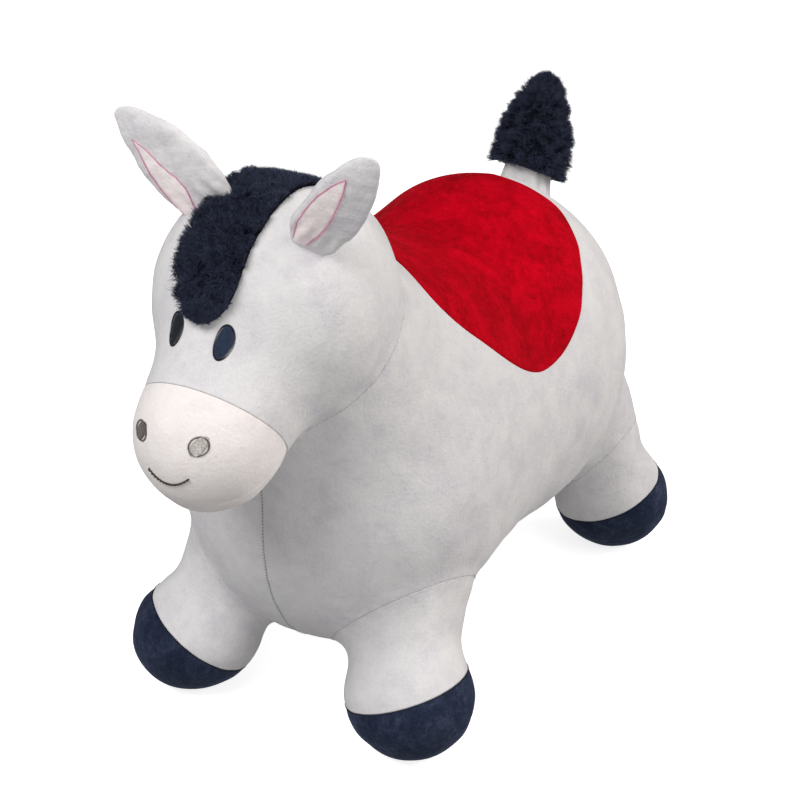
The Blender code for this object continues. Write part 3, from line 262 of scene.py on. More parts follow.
def blow(form, starts, ways, reach=RAY_REACH):
    """Where rays from inside leave a form: the stretch between in and out is halved again and
    again, which leaves far less than a micrometre."""
    ways = ways / np.linalg.norm(ways, axis=-1)[..., None]
    inside = np.zeros(ways.shape[:-1])
    outside = np.full(ways.shape[:-1], reach)
    for _ in range(HALVINGS):
        middle = (inside + outside) / 2.0
        within = form(starts + ways * middle[..., None]) < 0.0
        inside = np.where(within, middle, inside)
        outside = np.where(within, outside, middle)
    return starts + ways * inside[..., None]


nose = blow(head_form, np.array([[0.0, -0.238, 0.282]]), np.array([[0.0, -1.0, 0.0]]))[0]
print("the nose is at", np.round(nose, 4))

# %% [markdown]
# A surface in Blender is a mesh. Ours start as grids: rows and columns of
# points worked out at once with numpy. One helper turns such a grid into a
# mesh object, welds the rows that shrink to a pole, and smooths its shading.

# %% From a grid to an object
WELD = 1e-6


def quads_of(rows, columns, wrap):
    """Four corners for each cell of a grid; with wrap the last column joins the first."""
    last = columns if wrap else columns - 1
    i, j = np.meshgrid(np.arange(rows - 1), np.arange(last), indexing="ij")
    k = (j + 1) % columns
    corners = [i * columns + j, (i + 1) * columns + j, (i + 1) * columns + k, i * columns + k]
    return np.stack(corners, axis=-1).reshape(-1, 4)


def mesh_of(name, points, faces):
    """A mesh from arrays of points and of equal-sided faces."""
    mesh = bpy.data.meshes.new(name)
    mesh.vertices.add(len(points))
    mesh.vertices.foreach_set("co", np.asarray(points, np.float32).ravel())
    mesh.loops.add(faces.size)
    mesh.loops.foreach_set("vertex_index", faces.astype(np.int32).ravel())
    mesh.polygons.add(len(faces))
    mesh.polygons.foreach_set("loop_start", np.arange(0, faces.size, faces.shape[1], dtype=np.int32))
    mesh.update(calc_edges=True)
    return mesh


def add_piece(name, mesh, material, body, *nodes):
    """Puts a finished mesh in the scene, dressed, riding on a body and standing for CAD nodes."""
    obj = bpy.data.objects.new(name, mesh)
    bpy.context.scene.collection.objects.link(obj)
    mesh.materials.append(material)
    mesh.shade_smooth()
    if body:
        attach(obj, body)
    if nodes:
        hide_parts(*nodes)
    return obj


def points_of(mesh):
    """All the points of a mesh as one array."""
    flat = np.empty(len(mesh.vertices) * 3, np.float32)
    mesh.vertices.foreach_get("co", flat)
    return flat.reshape(-1, 3).astype(float)


def set_points(mesh, points):
    """Writes an array of points into a mesh."""
    mesh.vertices.foreach_set("co", np.asarray(points, np.float32).ravel())
    mesh.update()


def mesh_from(bm, name):
    """Turns what was edited as a bmesh into a mesh."""
    mesh = bpy.data.meshes.new(name)
    bm.to_mesh(mesh)
    bm.free()
    return mesh


def welded(name, points, faces):
    """A mesh whose rows that shrink to a pole are welded to one point."""
    bm = bmesh.new()
    bm.from_mesh(mesh_of(name, points.reshape(-1, 3), faces))
    bmesh.ops.remove_doubles(bm, verts=bm.verts, dist=WELD)
    return mesh_from(bm, name)


def mirrored(mesh, name):
    """The mesh with X turned round, and each face turned too, so that it still faces out."""
    copy = mesh.copy()
    copy.name = name
    set_points(copy, points_of(copy) * np.array((-1.0, 1.0, 1.0)))
    copy.flip_normals()
    return copy


def waves(points, size, seed):
    """Smooth uneven values near -1 to 1: eight sine waves of about this size in odd directions."""
    rng = np.random.RandomState(seed)
    ways = rng.normal(size=(8, 3))
    ways /= np.linalg.norm(ways, axis=1)[:, None]
    pace = 2.0 * math.pi / (size * rng.uniform(0.7, 1.5, 8))
    start = rng.uniform(0.0, 2.0 * math.pi, 8)
    return np.sin((points @ ways.T) * pace + start).sum(axis=-1) / 4.0


print("helpers ready")

# %% [markdown]
# Velour is a knitted cloth with a short cut pile. Where the pile has been
# brushed another way it looks darker or lighter, so the cloth is never one
# colour: soft smudges a few centimetres wide, with finer ones inside them. The
# pile also catches light at the edges of a form, which Cycles calls sheen. Its
# tips make a bump far too fine to model, so two noises stand in for them.

# %% Velour
WHITE = (1.0, 1.0, 1.0)


def add_node(tree, kind, **values):
    """A node with its inputs set by name; numbers stay as they are and sockets are linked."""
    node = tree.nodes.new(kind)
    for key, value in values.items():
        if hasattr(node, key):
            setattr(node, key, value)
            continue
        socket = node.inputs[key.replace("_", " ")]
        if isinstance(value, bpy.types.NodeSocket):
            tree.links.new(value, socket)
        else:
            socket.default_value = value
    return node


def blank_material(name, roughness):
    """A new material, its shader, and the place on the piece that its patterns read."""
    made = bpy.data.materials.new(name)
    made.use_nodes = True
    tree = made.node_tree
    shader = tree.nodes["Principled BSDF"]
    shader.inputs["Roughness"].default_value = roughness
    place = tree.nodes.new("ShaderNodeTexCoord").outputs["Object"]
    return made, tree, shader, place


def shades(tree, factor, *stops):
    """A colour ramp between stops of (place, colour)."""
    ramp = tree.nodes.new("ShaderNodeValToRGB")
    tree.links.new(factor, ramp.inputs["Fac"])
    elements = ramp.color_ramp.elements
    while len(elements) < len(stops):
        elements.new(0.5)
    for element, (spot, colour) in zip(elements, stops):
        element.position = spot
        element.color = (*colour, 1.0)
    return ramp.outputs["Color"]


def noise(tree, place, scale, detail, **more):
    """A value from smooth noise with about this many waves to the metre."""
    node = add_node(tree, "ShaderNodeTexNoise", Vector=place, Scale=scale, Detail=detail, **more)
    return node.outputs["Fac"]


def mixed_in(tree, share, first, second):
    """The first value with a share of the second mixed in."""
    node = add_node(tree, "ShaderNodeMix", Factor=share, data_type="FLOAT")
    tree.links.new(first, node.inputs[2])
    tree.links.new(second, node.inputs[3])
    return node.outputs[0]


def bumps_on(tree, shader, *layers):
    """Bumps from the broadest to the finest, each (strength, distance, height) on the one before."""
    under = {}
    for strength, distance, height in layers:
        sizes = {"Strength": strength, "Distance": distance}
        node = add_node(tree, "ShaderNodeBump", Height=height, **sizes, **under)
        under = {"Normal": node.outputs["Normal"]}
    tree.links.new(under["Normal"], shader.inputs["Normal"])


def velour(name, dark, middle, light, sheen=0.15, tint=WHITE, fine=0.35, smudge_size=0.040):
    """Short-pile cloth: coarse smudges, finer ones and the grain of the pile mixed in, and a bump
    of hairs over clumps over broad soft dents."""
    made, tree, shader, place = blank_material(name, 0.88)
    coarse = noise(tree, place, 1.0 / smudge_size, 4.0, Roughness=0.6, Distortion=0.8)
    small = noise(tree, place, 5.0 / smudge_size, 3.0, Roughness=0.7)
    grain = noise(tree, place, 620.0, 3.0, Roughness=0.8)
    grained = mixed_in(tree, 0.30, mixed_in(tree, fine, coarse, small), grain)
    colour = shades(tree, grained, (0.36, dark), (0.50, middle), (0.64, light))
    tree.links.new(colour, shader.inputs["Base Color"])
    shader.inputs["Specular IOR Level"].default_value = 0.03
    shader.inputs["Sheen Weight"].default_value = sheen
    shader.inputs["Sheen Roughness"].default_value = 0.45
    shader.inputs["Sheen Tint"].default_value = (*tint, 1.0)
    bumps_on(
        tree,
        shader,
        (0.25, 0.0020, noise(tree, place, 55.0, 1.0)),
        (0.55, 0.0008, noise(tree, place, 380.0, 2.0)),
        (0.45, 0.0004, noise(tree, place, 1500.0, 1.0)),
    )
    return made


grey_velour = velour("grey_velour", (0.650, 0.625, 0.665), (0.745, 0.728, 0.735), (0.815, 0.805, 0.795))
pale_velour = velour("pale_velour", (0.86, 0.80, 0.78), (0.92, 0.86, 0.84), (0.96, 0.91, 0.89))
pink_velour = velour("pink_velour", (0.90, 0.79, 0.79), (0.94, 0.85, 0.85), (0.96, 0.89, 0.89))
red_velour = velour(
    "red_velour",
    (0.25, 0.0002, 0.003),
    (0.46, 0.0003, 0.008),
    (0.66, 0.0006, 0.014),
    sheen=0.02,
    tint=(1.0, 0.0, 0.02),
    fine=0.40,
    smudge_size=0.030,
)
navy_velour = velour(
    "navy_velour",
    (0.010, 0.014, 0.030),
    (0.022, 0.030, 0.058),
    (0.055, 0.066, 0.112),
    sheen=0.08,
    tint=(0.5, 0.6, 1.0),
    fine=0.40,
    smudge_size=0.022,
)
print(len(bpy.data.materials), "materials so far")

# %% [markdown]
# A cover is sewn from panels that meet in seams. Each seam here lies in a
# plane, which is how a round form is cut when its pattern is drawn. A panel is
# blown out as a grid of rays from a line inside the animal, cut along its
# seams, and its edges are rolled in: extra rows are cut a little way from each
# seam, and every point near it sinks along the surface normal, as cloth does
# where a thread pulls it down. The cover is stretched tight, so the seams are
# fine lines in shallow valleys.

# %% Seams and panels
NECK_SEAM = ((0.0, -0.150, 0.2975), (0.0, -0.863, 1.0))
MUZZLE_SEAM = ((0.0, -0.264, 0.329), (0.0, 1.143, 1.0))
CHIN_SEAM = ((0.0, -0.277, 0.2405), (0.0, -0.50, 1.0))
LEG_SEAMS = {
    "front_left": ((0.0767, -0.116, 0.108), (-0.875, 0.45, 1.0)),
    "front_right": ((-0.0767, -0.116, 0.108), (0.875, 0.45, 1.0)),
    "rear_left": ((0.0975, 0.189, 0.0925), (-1.0, -0.25, 1.0)),
    "rear_right": ((-0.0975, 0.189, 0.0925), (1.0, -0.25, 1.0)),
}
HOOF_SEAMS = {
    "front_left": ((0.0925, -0.130, 0.0505), (-0.40, 0.08, 1.0)),
    "front_right": ((-0.0925, -0.130, 0.0495), (0.68, 0.42, 1.0)),
    "rear_left": ((0.0955, 0.2195, 0.0515), (-0.32, -0.29, 1.0)),
    "rear_right": ((-0.0955, 0.2195, 0.0515), (0.32, -0.29, 1.0)),
}
SOLE_Z = 0.019
SOLE_SEAMS = {
    which: ((place[0], place[1], SOLE_Z), (rise[0] * 0.8, rise[1] * 0.8, 1.0))
    for which, (place, rise) in HOOF_SEAMS.items()
}
ROWS_BY_SEAM = (0.0002, 0.0005, 0.0009, 0.0016, 0.0030, 0.0055, 0.0090)
ROLL = 0.0009
SEAM_DIP = 0.0006
SEAM_DIP_WIDE = 0.008
PUCKER = 0.00025
CLOTH_BUMPS = 0.0007
THREAD_GAP = 0.00005
SPARE_CLOTH = 0.008
TUCK = 0.004
VELOUR_THICK = 0.0016


def keeping(seam, side):
    """A point on a seam and the unit normal that points to the side that is kept."""
    point, up = np.array(seam[0]), np.array(seam[1])
    return point, side * up / np.linalg.norm(up)


def rolled_in(points, seams):
    """How far each point sinks: a quarter circle at the edge, a shallow dip wider than it, and
    puckers that fade away from the thread, each by the distance from the seam's plane. Puckers and
    the broad unevenness are the same on both sides of a seam, so no gap opens between panels."""
    even = np.abs(points) * (1.0, 0.0, 0.0) + points * (0.0, 1.0, 1.0)
    sink = CLOTH_BUMPS * (waves(even, 0.075, 7) + 0.50 * waves(even, 0.030, 9))
    for point, normal in seams:
        away = (points - point) @ normal
        inside = np.clip(ROLL - away, 0.0, ROLL)
        sink += ROLL - np.sqrt(ROLL**2 - inside**2)
        sink += SEAM_DIP * np.exp(-((away / SEAM_DIP_WIDE) ** 2))
        sink += PUCKER * np.exp(-away / 0.012) * waves(even, 0.016, 5)
    return sink


def on_cloth(skin, form):
    """Where the cloth lies away from its seams: the form's skin less the broad unevenness."""
    return skin - slope_of(form, skin) * rolled_in(skin, [])[..., None]


def blown_grid(start, end, rows, columns, form, half=False):
    """Rays from a core line in spherical directions: rows run from pole to pole along the line and
    columns turn round it. With half, the pole points to the left and rows end on the middle plane.
    Each ray starts at the place on the line that its own direction leans to."""
    start, end = np.array(start, float), np.array(end, float)
    core = (end - start) / np.linalg.norm(end - start)
    axis = np.array((-1.0, 0.0, 0.0)) if half else core
    side = core if half else np.array((1.0, 0.0, 0.0)) - core[0] * core
    side /= np.linalg.norm(side)
    up = np.cross(side, axis)
    turn = np.linspace(0.0, 2.0 * math.pi, columns, endpoint=False)
    rise = np.linspace(0.0, math.pi / 2.0 if half else math.pi, rows)[:, None]
    round_it = np.cos(turn)[:, None] * side + np.sin(turn)[:, None] * up
    ways = np.sin(rise)[..., None] * round_it[None] - np.cos(rise)[..., None] * axis
    starts = (start + end) / 2.0 + (ways @ core)[..., None] * (end - start) / 2.0
    return blow(form, starts, ways), quads_of(rows, columns, True)


def panel_mesh(name, start, end, rows, columns, seams, half=False, tucked=None):
    """One panel of the cover. The grid reaches a little past each seam, where it is cut off, and
    the edges are rolled in. The edge at a tucked seam, given by its number, runs on under the
    next panel as a seam allowance. No point is let under the floor."""

    def held_in(points):
        inside = animal_form(points)
        for point, normal in seams:
            inside = np.maximum(inside, -((points - point) @ normal) - SPARE_CLOTH)
        return inside

    bm = bmesh.new()
    bm.from_mesh(welded(name, *blown_grid(start, end, rows, columns, held_in, half=half)))
    for number, (point, normal) in enumerate(seams):
        edge = -TUCK if number == tucked else THREAD_GAP
        for away in (*ROWS_BY_SEAM, THREAD_GAP, edge):
            bmesh.ops.bisect_plane(
                bm,
                geom=[*bm.verts, *bm.edges, *bm.faces],
                dist=WELD,
                plane_co=point + normal * away,
                plane_no=normal,
                clear_inner=away == edge,
            )
    mesh = mesh_from(bm, name)
    points = points_of(mesh)
    points -= slope_of(animal_form, points) * rolled_in(points, seams)[:, None]
    points[:, 2] = np.maximum(points[:, 2], 0.0)
    set_points(mesh, points)
    return mesh


def with_wall(obj, thickness=VELOUR_THICK):
    """Gives a panel its cloth thickness on the inside."""
    wall = obj.modifiers.new("wall", "SOLIDIFY")
    wall.thickness = thickness
    wall.offset = -1.0


FINE = 1.0


def count(number):
    return int(number * FINE)


# %% [markdown]
# The body is two large panels, left and right, sewn together down the chest,
# along the back and under the belly. One half is worked out and its mirror
# image is the other. The head is a single dome from the neck seam to the
# muzzle, and the pale muzzle has its own chin piece underneath.

# %% Body, head and muzzle
MIDDLE = ((0.0, 0.0, 0.2), (1.0, 0.0, 0.0))
body_seams = [
    keeping(NECK_SEAM, -1),
    keeping(LEG_SEAMS["front_left"], 1),
    keeping(LEG_SEAMS["rear_left"], 1),
    keeping(MIDDLE, 1),
]
body_core = ((0.0, -0.040, 0.188), (0.0, 0.155, 0.188))
body_mesh = panel_mesh("body_panel_left", *body_core, count(130), count(340), body_seams, half=True)
right_mesh = mirrored(body_mesh, "body_panel_right")
with_wall(add_piece("body_panel_left", body_mesh, grey_velour, "body", "body_cover_left"))
with_wall(add_piece("body_panel_right", right_mesh, grey_velour, "body", "body_cover_right"))

head_core = ((0.0, -0.225, 0.290), (0.0, -0.140, 0.347))
for name, core, rows, columns, material, node, seams in (
    ("head_panel", head_core, 150, 220, grey_velour, "head_cover", ((NECK_SEAM, 1), (MUZZLE_SEAM, 1))),
    (
        "muzzle_cloth",
        ((0.0, -0.250, 0.276), (0.0, -0.215, 0.298)),
        130,
        180,
        pale_velour,
        "muzzle_panel",
        ((NECK_SEAM, 1), (MUZZLE_SEAM, -1), (CHIN_SEAM, 1)),
    ),
    (
        "chin_cloth",
        ((0.0, -0.240, 0.250), (0.0, -0.232, 0.252)),
        130,
        180,
        pale_velour,
        "chin_panel",
        ((NECK_SEAM, 1), (MUZZLE_SEAM, -1), (CHIN_SEAM, -1)),
    ),
):
    kept = [keeping(seam, side) for seam, side in seams]
    mesh = panel_mesh(name, *core, count(rows), count(columns), kept)
    with_wall(add_piece(name, mesh, material, "body", node))
    print(name, "has", len(mesh.polygons), "faces")
print("each body panel has", len(body_mesh.polygons), "faces")

# %% [markdown]
# Each leg is sewn from three rings: the grey shin, the navy side of the hoof
# and the navy sole. The hooves were sewn by hand and sit at slightly different
# tilts, so every hoof has a seam plane of its own. The shins are short and
# are pulled tight over the chamber, like the body. A shin's core line is given
# as shares of the way from hoof to trunk, and its upper edge is tucked under the
# body panel. The rear cores lie lower, because the trunk comes down behind them.

# %% Legs and hooves
SHIN_CORES = {"front": (0.45, 0.75), "rear": (0.20, 0.50)}
UP = np.array((0.0, 0.0, 1.0))
for which, (shin, _, hoof) in LEGS.items():
    leg_seam, hoof_seam, sole_seam = LEG_SEAMS[which], HOOF_SEAMS[which], SOLE_SEAMS[which]
    shin, hoof = np.array(shin), np.array(hoof)
    for name, rows, columns, material, seams, core, node in (
        (
            "shin_cloth",
            120,
            150,
            grey_velour,
            (keeping(leg_seam, -1), keeping(hoof_seam, 1)),
            [hoof + (shin - hoof) * share for share in SHIN_CORES[which.split("_")[0]]],
            "leg_cover",
        ),
        (
            "hoof_wall",
            110,
            140,
            navy_velour,
            (keeping(leg_seam, -1), keeping(hoof_seam, -1), keeping(sole_seam, 1)),
            (hoof - UP * 0.009, hoof - UP * 0.006),
            "hoof_band",
        ),
        (
            "hoof_pad",
            90,
            120,
            navy_velour,
            (keeping(leg_seam, -1), keeping(sole_seam, -1)),
            (hoof - UP * 0.034, hoof - UP * 0.031),
            "hoof_sole",
        ),
    ):
        piece = f"{name}_{which}"
        under = 0 if name == "shin_cloth" else None
        mesh = panel_mesh(piece, *core, count(rows), count(columns), seams, tucked=under)
        with_wall(add_piece(piece, mesh, material, "body", f"{node}_{which}"))
print("four legs of three pieces")

# %% [markdown]
# The saddle is a patch of red velour, sewn flat on the back. Its outline is
# drawn on the unrolled back, as places along the body and angles down from the
# spine, and a Catmull-Rom curve joins them smoothly. The patch is a round grid
# from its middle out to that outline. Its edge is turned under, so the surface
# drops over the last two millimetres.

# %% Saddle
SADDLE_FRONT = -0.067
SADDLE_LENGTH = 0.244
SADDLE_LOW = math.radians(66.5)
SADDLE_HUB = np.array((0.060, 0.0))
SPINE_CORE_Z = 0.185
SADDLE_EDGE = (
    (0.03, 0.00), (0.00, 0.15), (0.02, 0.33), (0.07, 0.47), (0.16, 0.64), (0.27, 0.82), (0.37, 0.935),
    (0.46, 0.99), (0.56, 0.985), (0.64, 0.94), (0.73, 0.86), (0.81, 0.76), (0.88, 0.66), (0.94, 0.55),
    (0.985, 0.40), (1.00, 0.24), (1.00, 0.00),
)


def smooth_loop(knots, samples):
    """A closed Catmull-Rom curve: each stretch is the cubic that leaves a knot along the line
    between its two neighbours."""
    knots = np.array(knots, float)
    place = np.linspace(0.0, len(knots), samples, endpoint=False)
    k = place.astype(int)
    t = (place - k)[:, None]
    a, b, c, d = (knots[(k + step) % len(knots)] for step in (-1, 0, 1, 2))
    return b + 0.5 * t * (c - a + t * (2 * a - 5 * b + 4 * c - d + t * (3 * (b - c) + d - a)))


def on_back(y, angle):
    """The skin at a place along the body and an angle down from the spine."""
    starts = np.stack([np.zeros_like(y), y, np.full_like(y, SPINE_CORE_Z)], axis=-1)
    ways = np.stack([np.sin(angle), np.zeros_like(y), np.cos(angle)], axis=-1)
    return blow(animal_form, starts, ways)


def patch_mesh(name, rim, hub, on_skin, rows, thick, fold, puff):
    """A patch: points run from a hub to a rim on a flat map, are laid on the skin, and are lifted
    by the cloth's thickness, which falls to nothing over the fold at the rim, and by a puff inside."""
    share = 1.0 - (1.0 - np.linspace(0.0, 1.0, rows)) ** 2.2
    flat = hub + share[:, None, None] * (rim - hub)
    skin = on_cloth(on_skin(flat[..., 0], flat[..., 1]), animal_form)
    edge = skin[-1]
    gap = np.linalg.norm(skin - edge[None], axis=-1)
    turned = np.clip(1.0 - gap / fold, 0.0, 1.0)
    lift = thick * np.sqrt(np.maximum(1.0 - turned**2, 0.0)) - 0.0003
    lift = lift + puff * (1.0 - np.exp(-gap / 0.015))
    skin = skin + slope_of(animal_form, skin) * lift[..., None]
    mesh = welded(name, skin, quads_of(rows, len(rim), True))
    faces = mesh.polygons[:40]
    out = slope_of(animal_form, np.array([face.center for face in faces]))
    if sum(face.normal @ Vector(way) for face, way in zip(faces, out)) < 0.0:
        mesh.flip_normals()
    return mesh


half_edge = [(SADDLE_FRONT + SADDLE_LENGTH * a, SADDLE_LOW * b) for a, b in SADDLE_EDGE]
whole_edge = half_edge + [(y, -angle) for y, angle in half_edge[-2:0:-1]]
saddle_rim = smooth_loop(whole_edge, count(420))
saddle_mesh = patch_mesh(
    "saddle_cloth", saddle_rim, SADDLE_HUB, on_back, count(90), thick=0.0013, fold=0.0022, puff=0.0004
)
add_piece("saddle_cloth", saddle_mesh, red_velour, "body", "saddle_patch")
print("saddle of", len(saddle_mesh.polygons), "faces")

# %% [markdown]
# Embroidery and hand sewing are threads, and a thread lies as a small arch: it
# comes out of the cloth, runs over it and goes back in. One helper makes any
# number of such arches at once, as thin four-sided tubes between pairs of
# points. Eyes, nostrils, mouth, ear outlines and seam stitches all use it.

# %% Thread


def thread_mesh(name, starts, ends, outward, radius, arch):
    """Arches between two sets of points: along each one the height is arch times the sine of half
    a turn to the power 0.7, and the tube's radius shrinks a little at both ends."""
    sections, sides = 6, 4
    t = np.linspace(0.0, 1.0, sections)
    path = starts[:, None] + (ends - starts)[:, None] * t[:, None]
    path = path + outward[:, None] * (arch * np.sin(math.pi * t) ** 0.7)[:, None]
    along = ends - starts
    along = along / np.maximum(np.linalg.norm(along, axis=1), 1e-9)[:, None]
    beside = np.cross(along, outward)
    beside /= np.maximum(np.linalg.norm(beside, axis=1), 1e-9)[:, None]
    turn = np.arange(sides) * 2.0 * math.pi / sides + math.pi / 4.0
    ring = beside[:, None, None] * np.cos(turn)[:, None] + outward[:, None, None] * np.sin(turn)[:, None]
    thick = radius * (0.45 + 0.55 * np.sin(math.pi * np.clip(t, 0.08, 0.92)) ** 0.5)
    points = path[:, :, None] + ring * thick[None, :, None, None]
    cell = quads_of(sections, sides, True)
    caps = np.array([[3, 2, 1, 0], [(sections - 1) * sides + k for k in range(sides)]])
    cell = np.concatenate([cell[:, ::-1], caps[:, ::-1]])
    faces = (np.arange(len(starts)) * sections * sides)[:, None, None] + cell[None]
    return mesh_of(name, points.reshape(-1, 3), faces.reshape(-1, 4))


def thread_material(name, colour, roughness=0.5):
    """Thread: fine streaks in colour and in bump, from a noise."""
    made, tree, shader, place = blank_material(name, roughness)
    fibre = noise(tree, place, 900.0, 2.0)
    dark = tuple(c * 0.75 for c in colour)
    light = tuple(min(c * 1.25 + 0.01, 1.0) for c in colour)
    tree.links.new(shades(tree, fibre, (0.35, dark), (0.65, light)), shader.inputs["Base Color"])
    bumps_on(tree, shader, (0.3, 0.0003, fibre))
    shader.inputs["Specular IOR Level"].default_value = 0.12
    shader.inputs["Sheen Weight"].default_value = 0.05
    return made


eye_thread = thread_material("eye_thread", (0.020, 0.036, 0.078), 0.7)
# The right eye's thread is a painted shaded copy of the left eye's navy: the same thread, darkened as if that
# eye lay in shade.
shaded_eye_thread = thread_material("shaded_eye_thread", (0.005, 0.008, 0.015), 0.7)
dark_thread = thread_material("dark_thread", (0.005, 0.007, 0.014), 0.7)
mouth_thread = thread_material("mouth_thread", (0.055, 0.040, 0.034), 0.5)
light_grey_thread = thread_material("light_grey_thread", (0.60, 0.57, 0.53), 0.5)
# This darker grey is the real dark ring round each nostril and also a painted shaded copy of the light grey
# fill, used for the right nostril.
nostril_ring_and_shade_thread = thread_material("nostril_ring_and_shade_thread", (0.16, 0.14, 0.13), 0.45)
pink_thread = thread_material("pink_thread", (0.74, 0.24, 0.42), 0.5)
seam_grey = thread_material("seam_grey", (0.27, 0.26, 0.27), 0.6)
seam_pale = thread_material("seam_pale", (0.62, 0.60, 0.61), 0.6)
print("nine threads")

# %% [markdown]
# The seams are closed by hand with small slanted stitches that cross from one
# panel to the other. A seam's path is found by rays in its own plane, and the
# stitches start and end on the cloth a millimetre to either side of it. Those
# that the saddle, the mane or the zip would cover are left out.

# %% Seam stitches


def seam_path(seam, centre, pitch, reach):
    """Points one pitch apart where a seam's plane leaves the animal, all the way round a centre."""
    point, normal = keeping(seam, 1)
    centre = np.array(centre) - ((np.array(centre) - point) @ normal) * normal
    ahead = np.array((0.0, -1.0, 0.0)) + normal[1] * normal
    ahead /= np.linalg.norm(ahead)
    turn = np.linspace(0.0, 2.0 * math.pi, 2400)
    ways = np.cos(turn)[:, None] * ahead + np.sin(turn)[:, None] * np.cross(ahead, normal)
    path = blow(animal_form, np.broadcast_to(centre, ways.shape), ways, reach)
    gone = np.concatenate([[0.0], np.cumsum(np.linalg.norm(np.diff(path, axis=0), axis=1))])
    places = np.arange(0.0, gone[-1], pitch)
    return np.stack([np.interp(places, gone, path[:, k]) for k in range(3)], axis=-1)


TAIL_PIVOT = np.array((0.0, 0.23139, 0.29313))
TAIL_CLEAR = 0.027
BELLY_STITCH_Z = 0.066
STITCH_ARCH = 0.00025
STITCH_LIFT = 0.00012


def seam_stitches(
    name, seam, centre, thread, pitch, keep, wide=0.0010, slant=0.0006, thick=0.00020, reach=RAY_REACH
):
    """Slanted stitches over a seam, where keep says that it shows."""
    point, normal = keeping(seam, 1)
    path = seam_path(seam, centre, pitch, reach)
    way = np.gradient(path, axis=0)
    way /= np.maximum(np.linalg.norm(way, axis=1), 1e-9)[:, None]
    near = np.linalg.norm(path - np.array(centre), axis=1) < reach * 0.98
    path, way = path[keep(path) & near], way[keep(path) & near]
    out = slope_of(animal_form, path)
    beside = np.cross(way, out)
    ends = []
    for side in (-1.0, 1.0):
        spot = path + side * (beside * wide + way * slant)
        spot -= slope_of(animal_form, spot) * animal_form(spot)[:, None]
        kept = (point, normal if (beside[0] @ normal) * side > 0.0 else -normal)
        sink = rolled_in(spot, [kept]) - STITCH_LIFT
        ends.append(spot - slope_of(animal_form, spot) * sink[:, None])
    add_piece(name, thread_mesh(name, *ends, out, thick, STITCH_ARCH), thread, "body")
    return len(path)


def neck_side(points):
    """How far points lie behind the neck seam."""
    point, normal = keeping(NECK_SEAM, -1)
    return (points - point) @ normal


stitched = seam_stitches(
    "stitch_middle",
    MIDDLE,
    (0.0, 0.045, 0.170),
    seam_grey,
    0.0026,
    lambda p: (neck_side(p) > 0.003)
    & ((p[:, 2] > BELLY_STITCH_Z) | (np.abs(p[:, 1] - ZIP_MIDDLE_Y) > 0.085))
    & ((p[:, 2] < 0.230) | (p[:, 1] > 0.200) | (p[:, 1] < -0.120))
    & (np.linalg.norm(p - TAIL_PIVOT, axis=1) > TAIL_CLEAR),
)
stitched += seam_stitches(
    "stitch_neck",
    NECK_SEAM,
    (0.0, -0.130, 0.300),
    seam_pale,
    0.0030,
    lambda p: (np.abs(p[:, 0]) > 0.034) | (p[:, 2] < 0.300),
    thick=0.00016,
)
for which, (shin, _, hoof) in LEGS.items():
    stitched += seam_stitches(
        f"stitch_leg_{which}",
        LEG_SEAMS[which],
        shin,
        seam_pale,
        0.0030,
        lambda p: (leg_form(p, which) < 0.014) & (p[:, 2] > BELLY_STITCH_Z),
        thick=0.00014,
        reach=0.080,
    )
    stitched += seam_stitches(
        f"stitch_hoof_{which}",
        HOOF_SEAMS[which],
        hoof,
        dark_thread,
        0.0016,
        lambda p: p[:, 2] > 0.020,
        wide=0.0008,
        slant=0.0002,
        thick=0.00022,
        reach=0.080,
    )
print(stitched, "stitches over the seams")

# %% [markdown]
# The eyes are filled with long stitches laid side by side, a little slanted,
# inside a rim of short ones. The nostrils are round and made the same way. The
# mouth is a line of back stitches along a shallow smile. All are drawn on the
# front of the head as it is seen from straight ahead, then laid on its skin.

# %% Face


def on_face(x, z):
    """The skin straight ahead of a place across and up the face."""
    starts = np.stack([x, np.where(z < 0.318, -0.235, -0.160), z], axis=-1)
    ahead = np.broadcast_to(np.array((0.0, -1.0, 0.0)), starts.shape)
    return on_cloth(blow(head_form, starts, ahead), head_form)


FACE_LIFT = 0.0003
FACE_ARCH = 0.0005
FACE_CURVE = 0.080
RIM_PITCH = 0.0005


def embroidered_oval(node, x, z, wide, high, fill, rim, slant, pitch):
    """Chords across an oval, one pitch apart and slanted, and short radial stitches round it. All chords arch
    to the same height: the mean over the chords of a height that grows with a chord's length, as the face
    under them is round."""
    rows = np.arange(-high + pitch / 2.0, high, pitch)
    chord = wide * np.sqrt(np.maximum(1.0 - (rows / high) ** 2, 0.0)) * 0.98
    rise = np.tan(math.radians(slant)) * chord
    ends = []
    for way in (-1.0, 1.0):
        spot = on_face(x + way * chord, z + rows + way * rise)
        ends.append(spot + slope_of(head_form, spot) * FACE_LIFT)
    outward = slope_of(head_form, (ends[0] + ends[1]) / 2.0)
    arch = float((FACE_ARCH + chord**2 / 2.0 / FACE_CURVE).mean())
    filled = thread_mesh(f"{node}_stitch_fill", *ends, outward, pitch * 0.62, arch)
    steps = int(2.0 * math.pi * (wide + high) / 2.0 / RIM_PITCH)
    angle = np.linspace(0.0, 2.0 * math.pi, steps, endpoint=False)
    inner = on_face(x + (wide - 0.0002) * np.cos(angle), z + (high - 0.0002) * np.sin(angle))
    outer = on_face(x + (wide + 0.0009) * np.cos(angle), z + (high + 0.0009) * np.sin(angle))
    out = slope_of(head_form, inner)
    first, last = inner + out * FACE_LIFT, outer + out * 0.0001
    edge = thread_mesh(f"{node}_stitch_rim", first, last, out, 0.00030, FACE_ARCH)
    add_piece(f"{node}_stitch_fill", filled, fill, "body", node)
    add_piece(f"{node}_stitch_rim", edge, rim, "body")


